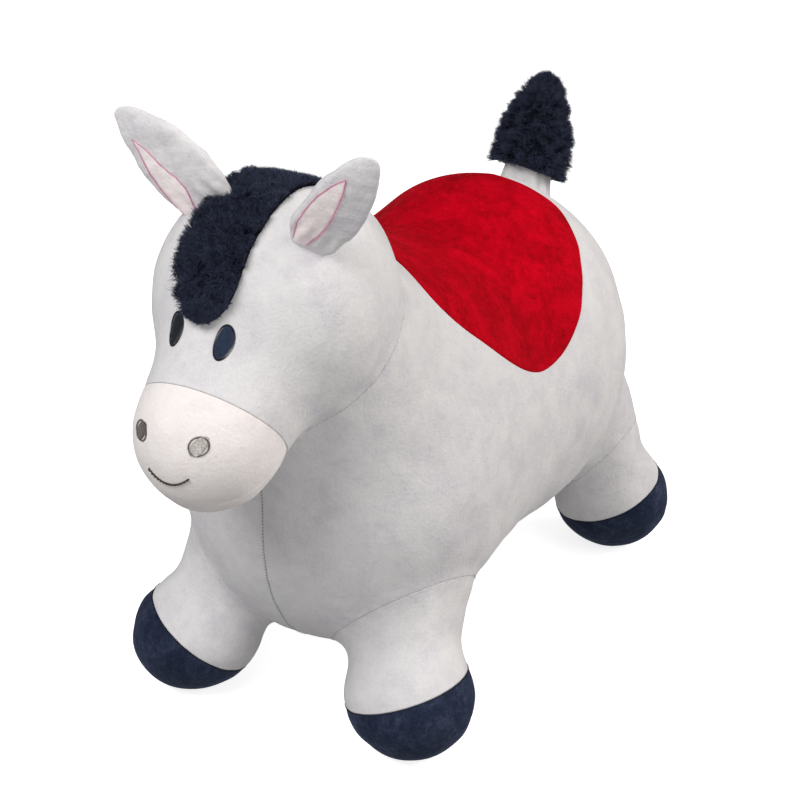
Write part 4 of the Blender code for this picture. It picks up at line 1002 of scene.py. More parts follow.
# The right eye is filled with the painted shaded copy of the eye thread.
for side, x, fill in (("left", 0.0150, eye_thread), ("right", -0.0235, shaded_eye_thread)):
    embroidered_oval(f"eye_{side}", x, 0.3515, 0.0057, 0.0096, fill, dark_thread, 12.0, 0.00042)
# The right nostril's fill is painted shade: the light grey thread darkened.
for side, x, fill in (("left", 0.0212, light_grey_thread), ("right", -0.0235, nostril_ring_and_shade_thread)):
    embroidered_oval(f"nostril_{side}", x, 0.2972, 0.0056, 0.0056, fill, nostril_ring_and_shade_thread, 30.0, 0.00045)

across = np.linspace(-1.0, 1.0, 15)
smile_x = 0.0155 * across
smile_z = 0.2745 - 0.0072 * (1.0 - across**2)
smile = on_face(smile_x, smile_z)
smile += slope_of(head_form, smile) * FACE_LIFT
smile_out = slope_of(head_form, smile[:-1])
mouth_mesh = thread_mesh("smile", smile[:-1], smile[1:], smile_out, 0.00085, 0.0006)
add_piece("smile", mouth_mesh, mouth_thread, "body", "mouth")
print("two eyes, two nostrils and a smile")

# %% [markdown]
# The mane and the tail's tuft are faux fur with a short, dense, curly pile.
# Each hair is a narrow ribbon that leaves the backing cloth straight up and
# then bends over; hairs that stand near each other bend towards the same
# point, which gives the small round curls that such fur dries into. Thousands
# of hairs are worked out at once.

# %% Fur


def fur_mesh(name, roots, normals, lean, length, clumps, seed):
    """Hairs as ribbons. Each one is a quadratic curve from its root, past a knee up along the
    normal, to a tip that is six parts its own and four parts its clump's. A sine along it makes it
    wavy, and the ribbon narrows towards the tip."""
    rng = np.random.RandomState(seed)
    segments = 3
    t = np.linspace(0.0, 1.0, segments + 1)[None, :, None]
    tips = np.repeat(clumps, len(roots) // len(clumps), axis=0)
    length = length * (1.0 + 0.28 * waves(roots, 0.0095, seed + 3))[:, None]
    own = roots + normals * length * rng.uniform(0.75, 1.05, (len(roots), 1)) + lean * length * 0.45
    tips = own * 0.60 + tips * 0.40 + rng.normal(0.0, 0.0008, roots.shape)
    knee = roots + normals * length * rng.uniform(0.55, 1.0, (len(roots), 1))
    path = (1 - t) ** 2 * roots[:, None] + 2 * t * (1 - t) * knee[:, None] + t**2 * tips[:, None]
    curl = rng.normal(size=roots.shape)
    phase = t + rng.uniform(0, 1, (len(roots), 1, 1))
    path = path + curl[:, None] * 0.0006 * np.sin(2.0 * math.pi * phase)
    flat = np.cross(path[:, -1] - path[:, 0], rng.normal(size=roots.shape))
    flat /= np.linalg.norm(flat, axis=1)[:, None]
    wide = 0.00026 * (1.0 - 0.70 * t)
    points = np.stack([path - flat[:, None] * wide, path + flat[:, None] * wide], axis=2)
    cell = quads_of(segments + 1, 2, False)
    faces = (np.arange(len(roots)) * (segments + 1) * 2)[:, None, None] + cell[None]
    mesh = mesh_of(name, points.reshape(-1, 3), faces.reshape(-1, 4))
    along = mesh.attributes.new("along", "FLOAT", "POINT")
    along.data.foreach_set("value", np.tile(np.repeat(t.ravel(), 2), len(roots)).astype(np.float32))
    return mesh


def fur_material(name, deep, tip):
    """Acrylic fur whose tone differs at random from clump to clump. On hair ribbons the ends are painted paler
    than the roots, a painted highlight on the tops of the curls: the attribute along runs from 0 at a root to
    1 at a tip."""
    made, tree, shader, place = blank_material(name, 0.62)
    clumps = noise(tree, place, 160.0, 3.0, Roughness=0.7)
    mixed = mixed_in(tree, 0.4, clumps, noise(tree, place, 45.0, 2.0))
    along = add_node(tree, "ShaderNodeAttribute", attribute_name="along")
    # Painted highlight: towards its tip each hair is mixed towards the paler colour, standing in for light on
    # the tops of the curls.
    tip_highlight = mixed_in(tree, 0.45, mixed, along.outputs["Fac"])
    tree.links.new(shades(tree, tip_highlight, (0.34, deep), (0.86, tip)), shader.inputs["Base Color"])
    shader.inputs["Specular IOR Level"].default_value = 0.10
    return made


white_wadding = fur_material("white_wadding", (0.70, 0.70, 0.68), (0.86, 0.86, 0.84))
# The navy fur's paler tip colour is a painted highlight on its curls.
navy_fur = fur_material("navy_fur", (0.005, 0.007, 0.016), (0.080, 0.096, 0.160))


def clumped(place_at, spread, clumps, each, seed):
    """Clump centres scattered over a two-number map, and hair roots scattered round each one."""
    rng = np.random.RandomState(seed)
    centres = rng.uniform((0.0, -1.0), (1.0, 1.0), (clumps, 2))
    roots = np.repeat(centres, each, axis=0) + rng.normal(0.0, 1.0, (clumps * each, 2)) * spread
    inside = (roots > (0.0, -1.0)) & (roots < (1.0, 1.0))
    roots = np.where(inside, roots, np.repeat(centres, each, axis=0))
    return place_at(centres[:, 0], centres[:, 1]), place_at(roots[:, 0], roots[:, 1])


CLUMPS = 900
HAIRS_EACH = 34
MANE_HAIR = 0.0078
TUFT_HAIR = 0.0080
HAIR_DROOP = 0.0015
POLL_Y = -0.125
POLL_WIDE = 0.045
MANE_HUB = np.array((0.0, -0.120, 0.300))
mane_front = on_face(np.array([0.0]), np.array([0.3605]))[0] - MANE_HUB
mane_rear = on_back(np.array([-0.066]), np.array([0.0]))[0] - MANE_HUB
MANE_FIRST = math.atan2(mane_front[2], mane_front[1])
MANE_LAST = math.atan2(mane_rear[2], mane_rear[1])


def mane_place(share, across):
    """The skin at a share of the way from forelock to saddle and from side to side. The strip is
    rounded off at the forelock and a little wider behind the ears."""
    angle = MANE_FIRST + (MANE_LAST - MANE_FIRST) * share
    half = 0.0240 * np.sqrt(np.clip(1.0 - (1.0 - np.clip(share / 0.16, 0.0, 1.0)) ** 2, 0.05, 1.0))
    fore = np.clip(1.0 - share / 0.40, 0.0, 1.0)
    rear = np.clip((share - 0.70) / 0.25, 0.0, 1.0)
    swell = np.sin(math.pi * np.clip(share / 0.45, 0.0, 1.0))
    half = half * (1.0 + 0.08 * swell - 0.10 * fore + 0.16 * rear)
    bend = np.sin(math.pi * np.clip(share * 1.3, 0.0, 1.0))
    middle = -0.0030 - 0.0030 * bend - 0.0016 * swell + 0.0050 * rear
    hub_y, hub_z = np.full_like(share, MANE_HUB[1]), np.full_like(share, MANE_HUB[2])
    starts = np.stack([middle + across * half, hub_y, hub_z], axis=-1)
    ways = np.stack([np.zeros_like(share), np.cos(angle), np.sin(angle)], axis=-1)
    return on_cloth(blow(animal_form, starts, ways), animal_form)


def strip_grid(rows, columns, closed=False):
    """Rows from 0 to 1 along a strip and columns from -1 to 1 across it; a closed one stops short
    of its last column, which is the first again."""
    across = np.linspace(-1.0, 1.0, columns, endpoint=not closed)
    return np.meshgrid(np.linspace(0.0, 1.0, rows), across, indexing="ij")


def mane_backing():
    """A dark strip of backing cloth on the skin, thicker in the middle than at its edges."""
    rows, columns = 120, 24
    share, across = strip_grid(rows, columns)
    skin = mane_place(share, across)
    lift = 0.0020 * np.sqrt(np.maximum(1.0 - across**4, 0.0)) - 0.0002
    skin = skin + slope_of(animal_form, skin) * lift[..., None]
    return mesh_of("mane_backing", skin.reshape(-1, 3), quads_of(rows, columns, False)[:, ::-1])


def mane_hair(points):
    """How long the mane's hair is at each point: up to 30 % shorter on the poll, between the ears."""
    return MANE_HAIR * (1.0 - 0.30 * np.exp(-(((points[:, 1] - POLL_Y) / POLL_WIDE) ** 2)))[:, None]


add_piece("mane_backing", mane_backing(), navy_fur, "body", "mane")
for name, first, last, seed in (("mane_fur_front", 0.0, 0.5, 51), ("mane_fur_back", 0.5, 1.0, 52)):
    centres, roots = clumped(
        lambda s, a: mane_place(first + (last - first) * s, a), (0.018, 0.070), count(CLUMPS), HAIRS_EACH, seed
    )
    up = slope_of(animal_form, centres)
    rng = np.random.RandomState(seed + 10)
    stray = rng.normal(0.0, 0.0017, centres.shape)
    upright = up * np.einsum("ij,ij->i", stray, up)[:, None] * 0.6
    tips = centres + up * mane_hair(centres) + stray - upright - UP * HAIR_DROOP
    lean = rng.normal(0.0, 0.4, roots.shape)
    mesh = fur_mesh(name, roots, slope_of(animal_form, roots), lean, mane_hair(roots), tips, seed)
    add_piece(name, mesh, navy_fur, "body")
    print(name, "has", len(roots), "hairs")

# %% [markdown]
# An ear is two pieces of velour sewn together round their edge and lightly
# stuffed, so it is an egg pressed flat and cupped forwards. The seam pulls a
# groove round the rim, and folds spread from the foot, where the ear is
# gathered into the head. Whatever would reach into the head is pressed back
# until it lies just under the skin, like a seam allowance.

# %% Ears
EAR_PLACES = {
    "left": (
        (0.0555, -0.1853, 0.4187), (0.1037, -0.1984, 0.4799), 0.0204, 0.20, 0.80, math.radians(26.0), 0.0
    ),
    "right": ((0.0359, -0.1735, 0.4213), (0.0904, -0.1890, 0.4808), 0.0246, 0.24, 1.00, 0.0, 0.0052),
}
EAR_SUNK = 0.022
EAR_THICK = 0.0085
EAR_CUP = 0.0040


def ear_frame(side):
    """Root, way up, way the ear faces, way across, half length and half width, as for a left ear,
    then how much wider the foot is than the tip, a power that blunts the tip, and how far the
    tip leans outwards."""
    root, tip, wide, egg, blunt, turn, lean = EAR_PLACES[side]
    root, tip = np.array(root), np.array(tip)
    up = (tip - root) / np.linalg.norm(tip - root)
    ahead = np.array((0.0, -1.0, 0.0)) + up[1] * up
    ahead /= np.linalg.norm(ahead)
    inward = np.cross(ahead, up)
    face = ahead * math.cos(turn) - inward * math.sin(turn)
    half = (np.linalg.norm(tip - root) + EAR_SUNK) / 2.0
    return root, up, face, np.cross(face, up), half, wide, egg, blunt, lean


def ear_width(frame, z, ring):
    """What the sphere's x is multiplied by: the egg is 1 - egg z, and ring is the sphere's radius."""
    return (1.0 - frame[6] * z) * np.maximum(ring, 0.02) ** (frame[7] - 1.0)


def ear_at(frame, z, x, y, inset=0.0):
    """A place on an ear for a point of the unit sphere: z runs from foot to tip, x across and y to
    the front. The cup bends it forwards by x squared."""
    root, up, face, across, half, wide = frame[:6]
    spread = x * ear_width(frame, z, np.sqrt(x**2 + y**2))
    deep = y * (1.0 - frame[6] * z) * (EAR_THICK - inset) + EAR_CUP * spread**2
    rise = z * (half - inset * 2.0) + half - EAR_SUNK
    aside = spread * (wide - inset) - frame[8] * np.clip(z + 0.1, 0.0, 2.0) ** 2
    return root + rise[..., None] * up + aside[..., None] * across + deep[..., None] * face


def ear_out(frame, z, x, y):
    """Unit normals of the pressed egg: each coordinate over its own half size."""
    up, face, across, half, wide = frame[1:6]
    way = (x / wide)[..., None] * across + (y / EAR_THICK)[..., None] * face + (z / half)[..., None] * up
    return way / np.linalg.norm(way, axis=-1)[..., None]


def ear_skin(frame, z, x, y, seed):
    """The sewn skin: the egg less a groove at the rim, folds at the foot and soft unevenness."""
    half, wide = frame[4:6]
    spot = ear_at(frame, z, x, y)
    groove = EAR_THICK * y
    sink = 0.0011 * np.exp(-((groove / 0.0010) ** 2)) + 0.0006 * np.exp(-((groove / 0.0030) ** 2))
    height = (z + 1.0) * half - EAR_SUNK
    folds = np.cos(2.0 * math.pi * x * wide / 0.0095 + 0.7 * seed)
    sink = sink + 0.0007 * folds * np.exp(-((height / 0.012) ** 2))
    sink = sink + 0.0008 * waves(spot, 0.024, seed) + 0.00025 * waves(spot, 0.009, seed + 1)
    out = ear_out(frame, z, x, y)
    return spot - out * sink[..., None], out


def pressed_out(points, form, depth):
    """Moves what lies deeper than this in a form back to that depth, in three steps."""
    for _ in range(3):
        over = np.minimum(form(points) + depth, 0.0)
        points = points - slope_of(form, points) * over[..., None]
    return points


def ear_sphere(rows, columns):
    """The unit sphere from foot to tip. Columns crowd at the rim, where the groove is narrow."""
    rise = np.linspace(0.0, math.pi, rows)[:, None]
    turn = np.linspace(0.0, 2.0 * math.pi, columns, endpoint=False)[None]
    turn = turn - 0.36 * np.sin(2.0 * turn)
    z = -np.cos(rise) + 0.0 * turn
    return z, np.sin(rise) * np.cos(turn), np.sin(rise) * np.sin(turn)


def on_ear(frame, across, along, seed):
    """The front of an ear's skin at a place across it and a height above its root."""
    half, wide = frame[4:6]
    z = (along + EAR_SUNK) / half - 1.0
    ring = np.sqrt(np.maximum(1.0 - z**2, 1e-6))
    x = np.clip(across / (wide * ear_width(frame, z, ring)), -0.97 * ring, 0.97 * ring)
    y = np.sqrt(np.maximum(ring**2 - x**2, 0.0))
    return ear_skin(frame, z, x, y, seed)


LEAF_FOOT = -0.012
LEAVES = {
    "left": (
        (-0.012, 0.0065, 0.0045), (-0.002, 0.0070, 0.0068), (0.005, 0.0073, 0.0082),
        (0.015, 0.0075, 0.0088), (0.025, 0.0079, 0.0084), (0.035, 0.0080, 0.0071),
        (0.047, 0.0075, 0.0043), (0.0565, 0.0070, 0.0003),
    ),
    "right": (
        (-0.012, -0.0170, 0.0060), (0.001, -0.0155, 0.0066), (0.005, -0.0140, 0.0078),
        (0.013, -0.0118, 0.0090), (0.023, -0.0109, 0.0080), (0.032, -0.0108, 0.0063),
        (0.043, -0.0096, 0.0043), (0.052, -0.0080, 0.0026), (0.0595, -0.0071, 0.0003),
    ),
}


def leaf_line(side, share):
    """Height above the root, middle and half width of a leaf, for a share of the way up it."""
    heights, middles, halves = (np.array(column) for column in zip(*LEAVES[side]))
    height = LEAF_FOOT + (heights[-1] - LEAF_FOOT) * share
    return height, np.interp(height, heights, middles), np.interp(height, heights, halves)


def leaf_mesh(side, seed):
    """The pale lining, a leaf that is open at the head: rows up it and columns across it."""
    rows, columns = count(80), 21
    share, across = strip_grid(rows, columns)
    height, middle, half = leaf_line(side, share)
    spot, out = on_ear(ear_frame(side), middle + across * half, height, seed)
    lift = 0.0010 * np.sqrt(np.maximum(1.0 - across**6, 0.0)) - 0.0002
    spot = spot + out * lift[..., None]
    return mesh_of(f"ear_leaf_{side}", spot.reshape(-1, 3), quads_of(rows, columns, False))


def leaf_stitches(side, seed):
    """Short stitches across the leaf's edge, up one side to the tip and down the other."""
    frame = ear_frame(side)
    height, middle, half = leaf_line(side, np.linspace(0.03, 1.0, 400))
    edges = [np.stack([middle + way * half, height], axis=-1) for way in (1.0, -1.0)]
    line = np.concatenate([edges[0], edges[1][::-1]])
    gone = np.concatenate([[0.0], np.cumsum(np.linalg.norm(np.diff(line, axis=0), axis=1))])
    places = np.arange(0.0, gone[-1], 0.00050)
    spots = np.stack([np.interp(places, gone, line[:, k]) for k in (0, 1)], axis=-1)
    way = np.gradient(spots, axis=0)
    way /= np.maximum(np.linalg.norm(way, axis=1), 1e-9)[:, None]
    beside = np.stack([-way[:, 1], way[:, 0]], axis=-1)
    slant = beside * 0.00034 + way * 0.00020
    first, out = on_ear(frame, *(spots - slant).T, seed)
    last, _ = on_ear(frame, *(spots + slant).T, seed)
    lift = out * 0.0006
    return thread_mesh(f"ear_stitch_{side}", first + lift, last + lift, out, 0.00022, 0.00030)


for side, seed in (("left", 61), ("right", 64)):
    frame = ear_frame(side)
    fine_ball, coarse_ball = ear_sphere(count(120), count(160)), ear_sphere(count(60), count(70))
    turned_out = quads_of(count(120), count(160), True)[:, ::-1]
    skin = welded(f"ear_cloth_{side}", ear_skin(frame, *fine_ball, seed)[0], turned_out)
    set_points(skin, pressed_out(points_of(skin), head_form, 0.0015))
    lumps = ear_at(frame, *coarse_ball, 0.0042)
    hollow = 0.0006 + 0.0006 * waves(lumps, 0.012, seed + 2)
    lumps = lumps - ear_out(frame, *coarse_ball) * hollow[..., None]
    wadding = welded(f"ear_wadding_{side}", lumps, quads_of(count(60), count(70), True)[:, ::-1])
    set_points(wadding, pressed_out(points_of(wadding), head_form, -0.0006))
    made = [
        (f"ear_cloth_{side}", skin, grey_velour, "ear_cover"),
        (f"ear_leaf_{side}", leaf_mesh(side, seed), pink_velour, "ear_lining"),
        (f"ear_stitch_{side}", leaf_stitches(side, seed), pink_thread, None),
        (f"ear_wadding_{side}", wadding, white_wadding, "ear_filling"),
    ]
    for name, mesh, material, node in made:
        if side == "right":
            mesh = mirrored(mesh, f"{name}_mirrored")
        piece = add_piece(name, mesh, material, None, *([f"{node}_{side}"] if node else []))
        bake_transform(piece)
print("two ears with linings")

# %% [markdown]
# The tail is a short stuffed stub. It is gathered under the tuft and spread
# where it is sewn to the rump, so small pleats run along it at both ends. The
# tuft is a pad of fur pulled over the stub.

# %% Tail
TAIL_FOOT = np.array((0.0, 0.229, 0.288))
TAIL_TIP = np.array((0.0, 0.259, 0.352))
tail_way = (TAIL_TIP - TAIL_FOOT) / np.linalg.norm(TAIL_TIP - TAIL_FOOT)
TUFT_RIM = 0.0175
TUFT_TOP = 0.0920
TUFT_WIDE = 0.0248
TUFT_DROP = 0.0035
TUFT_LUMPS = 0.0014
TUFT_COLUMNS = 90


def stub_form(points, inset=0.0):
    """The stub narrows upwards, less the inset where the wadding is wanted."""
    return limb(points, TAIL_FOOT, TAIL_TIP, 0.0235 - inset, 0.0100 - inset)


def stub_mesh(name, inset, pleat, depth, seed):
    """The stub as rows along its length, pleated round it, with its foot pressed out of the rump."""
    points, faces = blown_grid(TAIL_FOOT, TAIL_TIP, count(90), count(140), lambda p: stub_form(p, inset))
    height = (points - TAIL_PIVOT) @ tail_way
    off = points - TAIL_PIVOT - height[..., None] * tail_way
    turn = np.arctan2(off[..., 1], off[..., 0])
    ends = np.exp(-((height / 0.010) ** 2)) + np.exp(-(((height - 0.030) / 0.012) ** 2))
    pleats = pleat * ends * np.cos(11.0 * turn + 1.7 * np.sin(2.0 * turn))
    sink = pleats + 0.0006 * waves(points, 0.020, seed)
    points = points - off / np.maximum(np.linalg.norm(off, axis=-1), 1e-6)[..., None] * sink[..., None]
    points = pressed_out(points.reshape(-1, 3), trunk_form, depth)
    return welded(name, points, faces)


for name, inset, pleat, depth, material, node in (
    ("tail_cloth", 0.0, 0.0010, 0.0015, grey_velour, "tail_cover"),
    ("tail_wadding", 0.0040, 0.0, -0.0006, white_wadding, "tail_filling"),
):
    piece = add_piece(name, stub_mesh(name, inset, pleat, depth, 71), material, None, node)
    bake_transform(piece)


side_way = np.array((1.0, 0.0, 0.0))
back_way = np.cross(tail_way, side_way)


def tuft_radius(height):
    """The tuft's radius shrinks as (1 - u^2.4)^0.8, where u runs from 0 at the rim to 1 at the top."""
    u = np.clip((height - TUFT_RIM) / (TUFT_TOP - TUFT_RIM), 0.0, 1.0)
    return TUFT_WIDE * (1.0 - u**2.4) ** 0.8


def tuft_form(points):
    """The skin under the tuft's hair: the distance from the tail's line less the tuft's radius,
    with lumps a few centimetres apart."""
    q = points - TAIL_PIVOT
    height = q @ tail_way
    off = np.linalg.norm(q - height[..., None] * tail_way, axis=-1)
    return off - tuft_radius(height) + TUFT_LUMPS * waves(points, 0.026, 77)


def tuft_place(share, across):
    """The skin of the tuft: share runs from its low rim to its top, across goes once round it. The
    rim hangs lower on the left and behind, and the skin swells and sinks in soft lumps."""
    turn = math.pi * across
    rim = TUFT_RIM - TUFT_DROP * np.cos(turn - 0.5)
    height = rim + (TUFT_TOP - rim) * (1.0 - (1.0 - share) ** 1.3)
    ring = np.cos(turn)[..., None] * side_way + np.sin(turn)[..., None] * back_way
    spot = TAIL_PIVOT + height[..., None] * tail_way + tuft_radius(height)[..., None] * ring
    return spot - ring * (TUFT_LUMPS * waves(spot, 0.026, 77))[..., None]


tuft_pad = tuft_place(*strip_grid(60, TUFT_COLUMNS, closed=True))
tuft_heart = TAIL_PIVOT + tail_way * (TUFT_RIM + 0.010)
tuft_under = tuft_heart + (tuft_pad[:1] - tuft_heart) * np.linspace(0.70, 0.97, 6)[:, None, None]
tuft_pad = np.concatenate([tuft_under, tuft_pad])
pad_mesh = welded("tuft_backing", tuft_pad, quads_of(len(tuft_pad), TUFT_COLUMNS, True)[:, ::-1])
add_piece("tuft_backing", pad_mesh, navy_fur, "tail", "tail_tuft")
centres, roots = clumped(tuft_place, (0.020, 0.030), count(CLUMPS), HAIRS_EACH, 81)
rng = np.random.RandomState(82)
up = slope_of(tuft_form, centres)
tips = centres + up * TUFT_HAIR + rng.normal(0.0, 0.0018, centres.shape) - tail_way * HAIR_DROOP
lean = rng.normal(0.0, 0.4, roots.shape)
tuft_mesh = fur_mesh("tuft_fur", roots, slope_of(tuft_form, roots), lean, TUFT_HAIR, tips, 83)
add_piece("tuft_fur", tuft_mesh, navy_fur, "tail")
print("tail, and a tuft of", len(roots), "hairs")

# %% [markdown]
# The belly opens with a zip, through which the air chamber is put in. Its two
# tapes are woven, each with a row of moulded teeth that reach between the
# teeth of the other. The slider, its pull and the valve are hard parts whose
# CAD shapes are right, so they only get their materials here.

# %% Zip, valve and air chamber
ZIP_START = -0.010
ZIP_END = 0.100
TAPE_LOW = 0.0602
TAPE_THICK = 0.0006
TOOTH_PITCH = 0.0044
TOOTH = (0.0036, 0.0019, 0.0018)
TOOTH_END_GAP = 0.003
WEAVE_PACE = 5200.0


def reckon(tree, operation, *values):
    """A sum worked out by a math node from sockets and numbers."""
    node = add_node(tree, "ShaderNodeMath", operation=operation)
    for socket, value in zip(node.inputs, values):
        if isinstance(value, bpy.types.NodeSocket):
            tree.links.new(value, socket)
        else:
            socket.default_value = value
    return node.outputs[0]


def zip_cloth_material():
    """Woven tape: two sets of fine bands at a slant cross and make a herringbone."""
    made, tree, shader, place = blank_material("zip_weave", 0.75)
    split = tree.nodes.new("ShaderNodeSeparateXYZ")
    tree.links.new(place, split.inputs[0])
    bands = []
    for slope in (1.0, -1.0):
        lean = reckon(tree, "MULTIPLY_ADD", split.outputs["X"], slope, split.outputs["Y"])
        bands.append(reckon(tree, "SINE", reckon(tree, "MULTIPLY", lean, WEAVE_PACE)))
    both = reckon(tree, "MULTIPLY_ADD", *bands, 0.5)
    colour = shades(tree, both, (0.2, (0.36, 0.36, 0.38)), (0.8, (0.55, 0.55, 0.57)))
    tree.links.new(colour, shader.inputs["Base Color"])
    bumps_on(tree, shader, (0.5, 0.0003, both))
    return made


def moulded_material(name, dark, light, roughness, metallic, scale):
    """A moulded or cast finish: faint cloudiness in colour, in gloss and in bump."""
    made, tree, shader, place = blank_material(name, roughness)
    cloud = noise(tree, place, scale, 4.0)
    tree.links.new(shades(tree, cloud, (0.35, dark), (0.65, light)), shader.inputs["Base Color"])
    ends = {"To_Min": roughness * 0.8, "To_Max": roughness * 1.3}
    rough = add_node(tree, "ShaderNodeMapRange", Value=cloud, **ends)
    tree.links.new(rough.outputs["Result"], shader.inputs["Roughness"])
    bumps_on(tree, shader, (0.15, 0.0004, cloud))
    shader.inputs["Metallic"].default_value = metallic
    return made


zip_weave = zip_cloth_material()
zip_teeth = moulded_material("zip_teeth", (0.40, 0.40, 0.42), (0.50, 0.50, 0.52), 0.40, 0.0, 700.0)
zip_steel = moulded_material("zip_steel", (0.46, 0.46, 0.48), (0.66, 0.66, 0.67), 0.30, 1.0, 500.0)
valve_white = moulded_material("valve_white", (0.70, 0.70, 0.72), (0.80, 0.80, 0.81), 0.35, 0.0, 400.0)
chamber_vinyl = moulded_material("chamber_vinyl", (0.40, 0.41, 0.45), (0.56, 0.57, 0.61), 0.38, 0.0, 60.0)


def tape_mesh(side, sign):
    """A flat tube: each row across the tape is an outline of eight points, thicker at the teeth."""
    rows = count(240)
    y = np.linspace(ZIP_START, ZIP_END, rows)
    low, high = TAPE_LOW, TAPE_LOW + TAPE_THICK
    outline = np.array(
        [(0.0012, low + 0.0001), (0.0020, low), (0.0060, low + 0.0001), (0.0120, low + 0.0002),
         (0.0120, high - 0.0001), (0.0060, high), (0.0020, high), (0.0012, high - 0.0001)]
    )
    points = np.zeros((rows, len(outline), 3))
    points[..., 0] = outline[:, 0] * sign
    points[..., 1] = y[:, None]
    points[..., 2] = outline[:, 1] + 0.00005 * np.sin(y[:, None] * 1400.0)
    faces = quads_of(rows, len(outline), True)
    last = (rows - 1) * len(outline)
    ends = np.array([[0, 1, 6, 7], [1, 2, 5, 6], [2, 3, 4, 5]])
    faces = np.concatenate([faces, ends, last + ends[:, ::-1]])
    if sign < 0:
        faces = faces[:, ::-1]
    return mesh_of(f"zip_tape_cloth_{side}", points.reshape(-1, 3), faces)


def teeth_mesh(side, sign, offset):
    """A row of teeth: rounded blocks that reach 0.6 mm past the middle of the zip."""
    bm = bmesh.new()
    first = ZIP_START + TOOTH_END_GAP + offset
    room = ZIP_END - ZIP_START - 2.0 * TOOTH_END_GAP - TOOTH[1] - TOOTH_PITCH / 2.0
    total = 1 + int(room / TOOTH_PITCH)
    for number in range(total):
        block = bmesh.ops.create_cube(bm, size=1.0)["verts"]
        bmesh.ops.scale(bm, vec=TOOTH, verts=block)
        spot = Vector((sign * 0.0012, first + number * TOOTH_PITCH + TOOTH[1] / 2.0, 0.0605))
        bmesh.ops.translate(bm, vec=spot, verts=block)
    bmesh.ops.bevel(bm, geom=bm.edges[:], offset=0.0003, segments=2, profile=0.5, affect="EDGES")
    return mesh_from(bm, f"zip_teeth_{side}")


for side, sign, offset in (("left", 1.0, 0.0), ("right", -1.0, TOOTH_PITCH / 2.0)):
    add_piece(f"zip_tape_cloth_{side}", tape_mesh(side, sign), zip_weave, "body", f"zip_tape_{side}")
    add_piece(f"zip_teeth_{side}", teeth_mesh(side, sign, offset), zip_teeth, "body")

for node, material in (
    ("zip_slider", zip_steel),
    ("zip_pull", zip_steel),
    ("valve_seat", valve_white),
    ("valve_plug", valve_white),
):
    for holder in bpy.data.objects[node].material_slots:
        holder.material = material


def chamber_mesh(depth):
    """The lobes of the chamber run into one skin: a coarse voxel skin round all of them is moved
    along its normals until it lies this deep under the cover."""
    bm = bmesh.new()
    lobes = [(*body_core, trunk_form), (*head_core, head_form)]
    for which, (shin, _, hoof) in LEGS.items():
        lobes.append((shin, hoof, lambda p, which=which: np.maximum(leg_form(p, which), -p[..., 2])))
    for start, end, form in lobes:
        points, faces = blown_grid(start, end, 40, 48, lambda p, form=form: form(p) + depth)
        bm.from_mesh(welded("lobe", points.reshape(-1, 3), faces))
    shell = bpy.data.objects.new("chamber_skin", mesh_from(bm, "chamber_skin"))
    bpy.context.scene.collection.objects.link(shell)
    remesh = shell.modifiers.new("voxels", "REMESH")
    remesh.mode = "VOXEL"
    remesh.voxel_size = 0.005 if FINE == 1.0 else 0.009
    graph = bpy.context.evaluated_depsgraph_get()
    skin = bpy.data.meshes.new_from_object(shell.evaluated_get(graph))
    bpy.data.objects.remove(shell)
    points = points_of(skin)
    for _ in range(4):
        points = points - slope_of(animal_form, points) * (animal_form(points) + depth)[:, None]
    set_points(skin, points)
    return skin


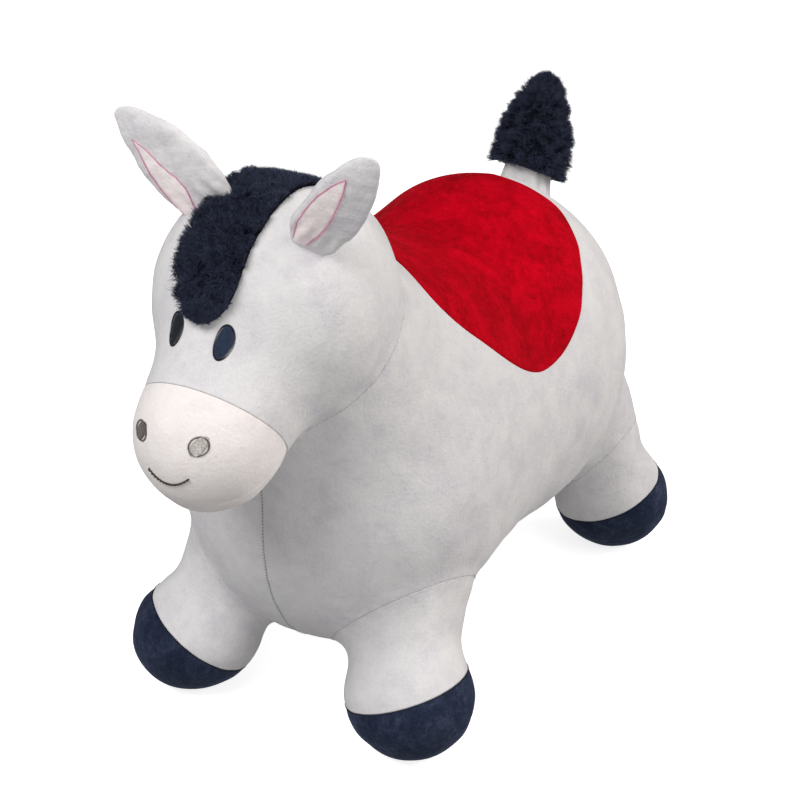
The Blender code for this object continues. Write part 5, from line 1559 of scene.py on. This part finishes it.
CHAMBER_DEPTH = 0.0036
VINYL_THICK = 0.0018
VALVE_CENTRE = (0.0, 0.075, 0.0660)
VALVE_HOLE_RADIUS = 0.0113
chamber = add_piece("chamber_skin", chamber_mesh(CHAMBER_DEPTH), chamber_vinyl, "body", "air_chamber")
bpy.ops.mesh.primitive_cylinder_add(
    vertices=48, radius=VALVE_HOLE_RADIUS, depth=0.030, location=VALVE_CENTRE
)
punch = bpy.context.object
hole = chamber.modifiers.new("valve_hole", "BOOLEAN")
hole.operation = "DIFFERENCE"
hole.solver = "FAST"
hole.object = punch
graph = bpy.context.evaluated_depsgraph_get()
chamber.data = bpy.data.meshes.new_from_object(chamber.evaluated_get(graph))
chamber.modifiers.clear()
bpy.data.objects.remove(punch)
with_wall(chamber, VINYL_THICK)
print("air chamber of", len(chamber.data.polygons), "faces")

# %% [markdown]
# Each material stands for a finish of the record, and the pieces that take one are counted. The covers are
# blown up tight by the chamber, the ears and the tail are stuffed, and the saddle and the ear linings are
# sheets sewn flat. The saddle's cut is measured on its own surface, across its widest place and along its
# middle. The ear linings are curved, so their cut is a little larger than their outline.

# %% Finishes and the saddle's cut
SLOTS = {
    grey_velour: "grey_velour",
    pale_velour: "pale_velour",
    pink_velour: "pink_velour",
    red_velour: "red_velour",
    navy_velour: "navy_velour",
    navy_fur: "navy_fur",
    eye_thread: "navy_thread",
    shaded_eye_thread: "navy_thread",
    light_grey_thread: "grey_thread",
    nostril_ring_and_shade_thread: "grey_thread",
    seam_grey: "grey_thread",
    seam_pale: "grey_thread",
    dark_thread: "dark_thread",
    mouth_thread: "dark_thread",
    pink_thread: "pink_velour",
    white_wadding: "white_fibre",
    chamber_vinyl: "chamber_pvc",
    zip_weave: "zip_cloth",
    zip_teeth: "zip_cloth",
}


def run_length(points):
    """The length of a line through points."""
    return float(np.linalg.norm(np.diff(points, axis=0), axis=1).sum())


dressed = 0
for obj in bpy.data.objects:
    if obj.type != "MESH" or obj is floor or not obj.data.materials:
        continue
    slot = SLOTS.get(obj.data.materials[0])
    if slot:
        dressed += 1

steps = np.linspace(-1.0, 1.0, 200)
widest = SADDLE_FRONT + SADDLE_LENGTH * 0.50
saddle_across = run_length(on_back(np.full(200, widest), steps * SADDLE_LOW))
saddle_along = run_length(on_back(SADDLE_FRONT + SADDLE_LENGTH * (steps + 1.0) / 2.0, np.zeros(200)))
print("saddle cut", round(saddle_across, 3), "by", round(saddle_along, 3))
print(dressed, "pieces take a finish from the record")
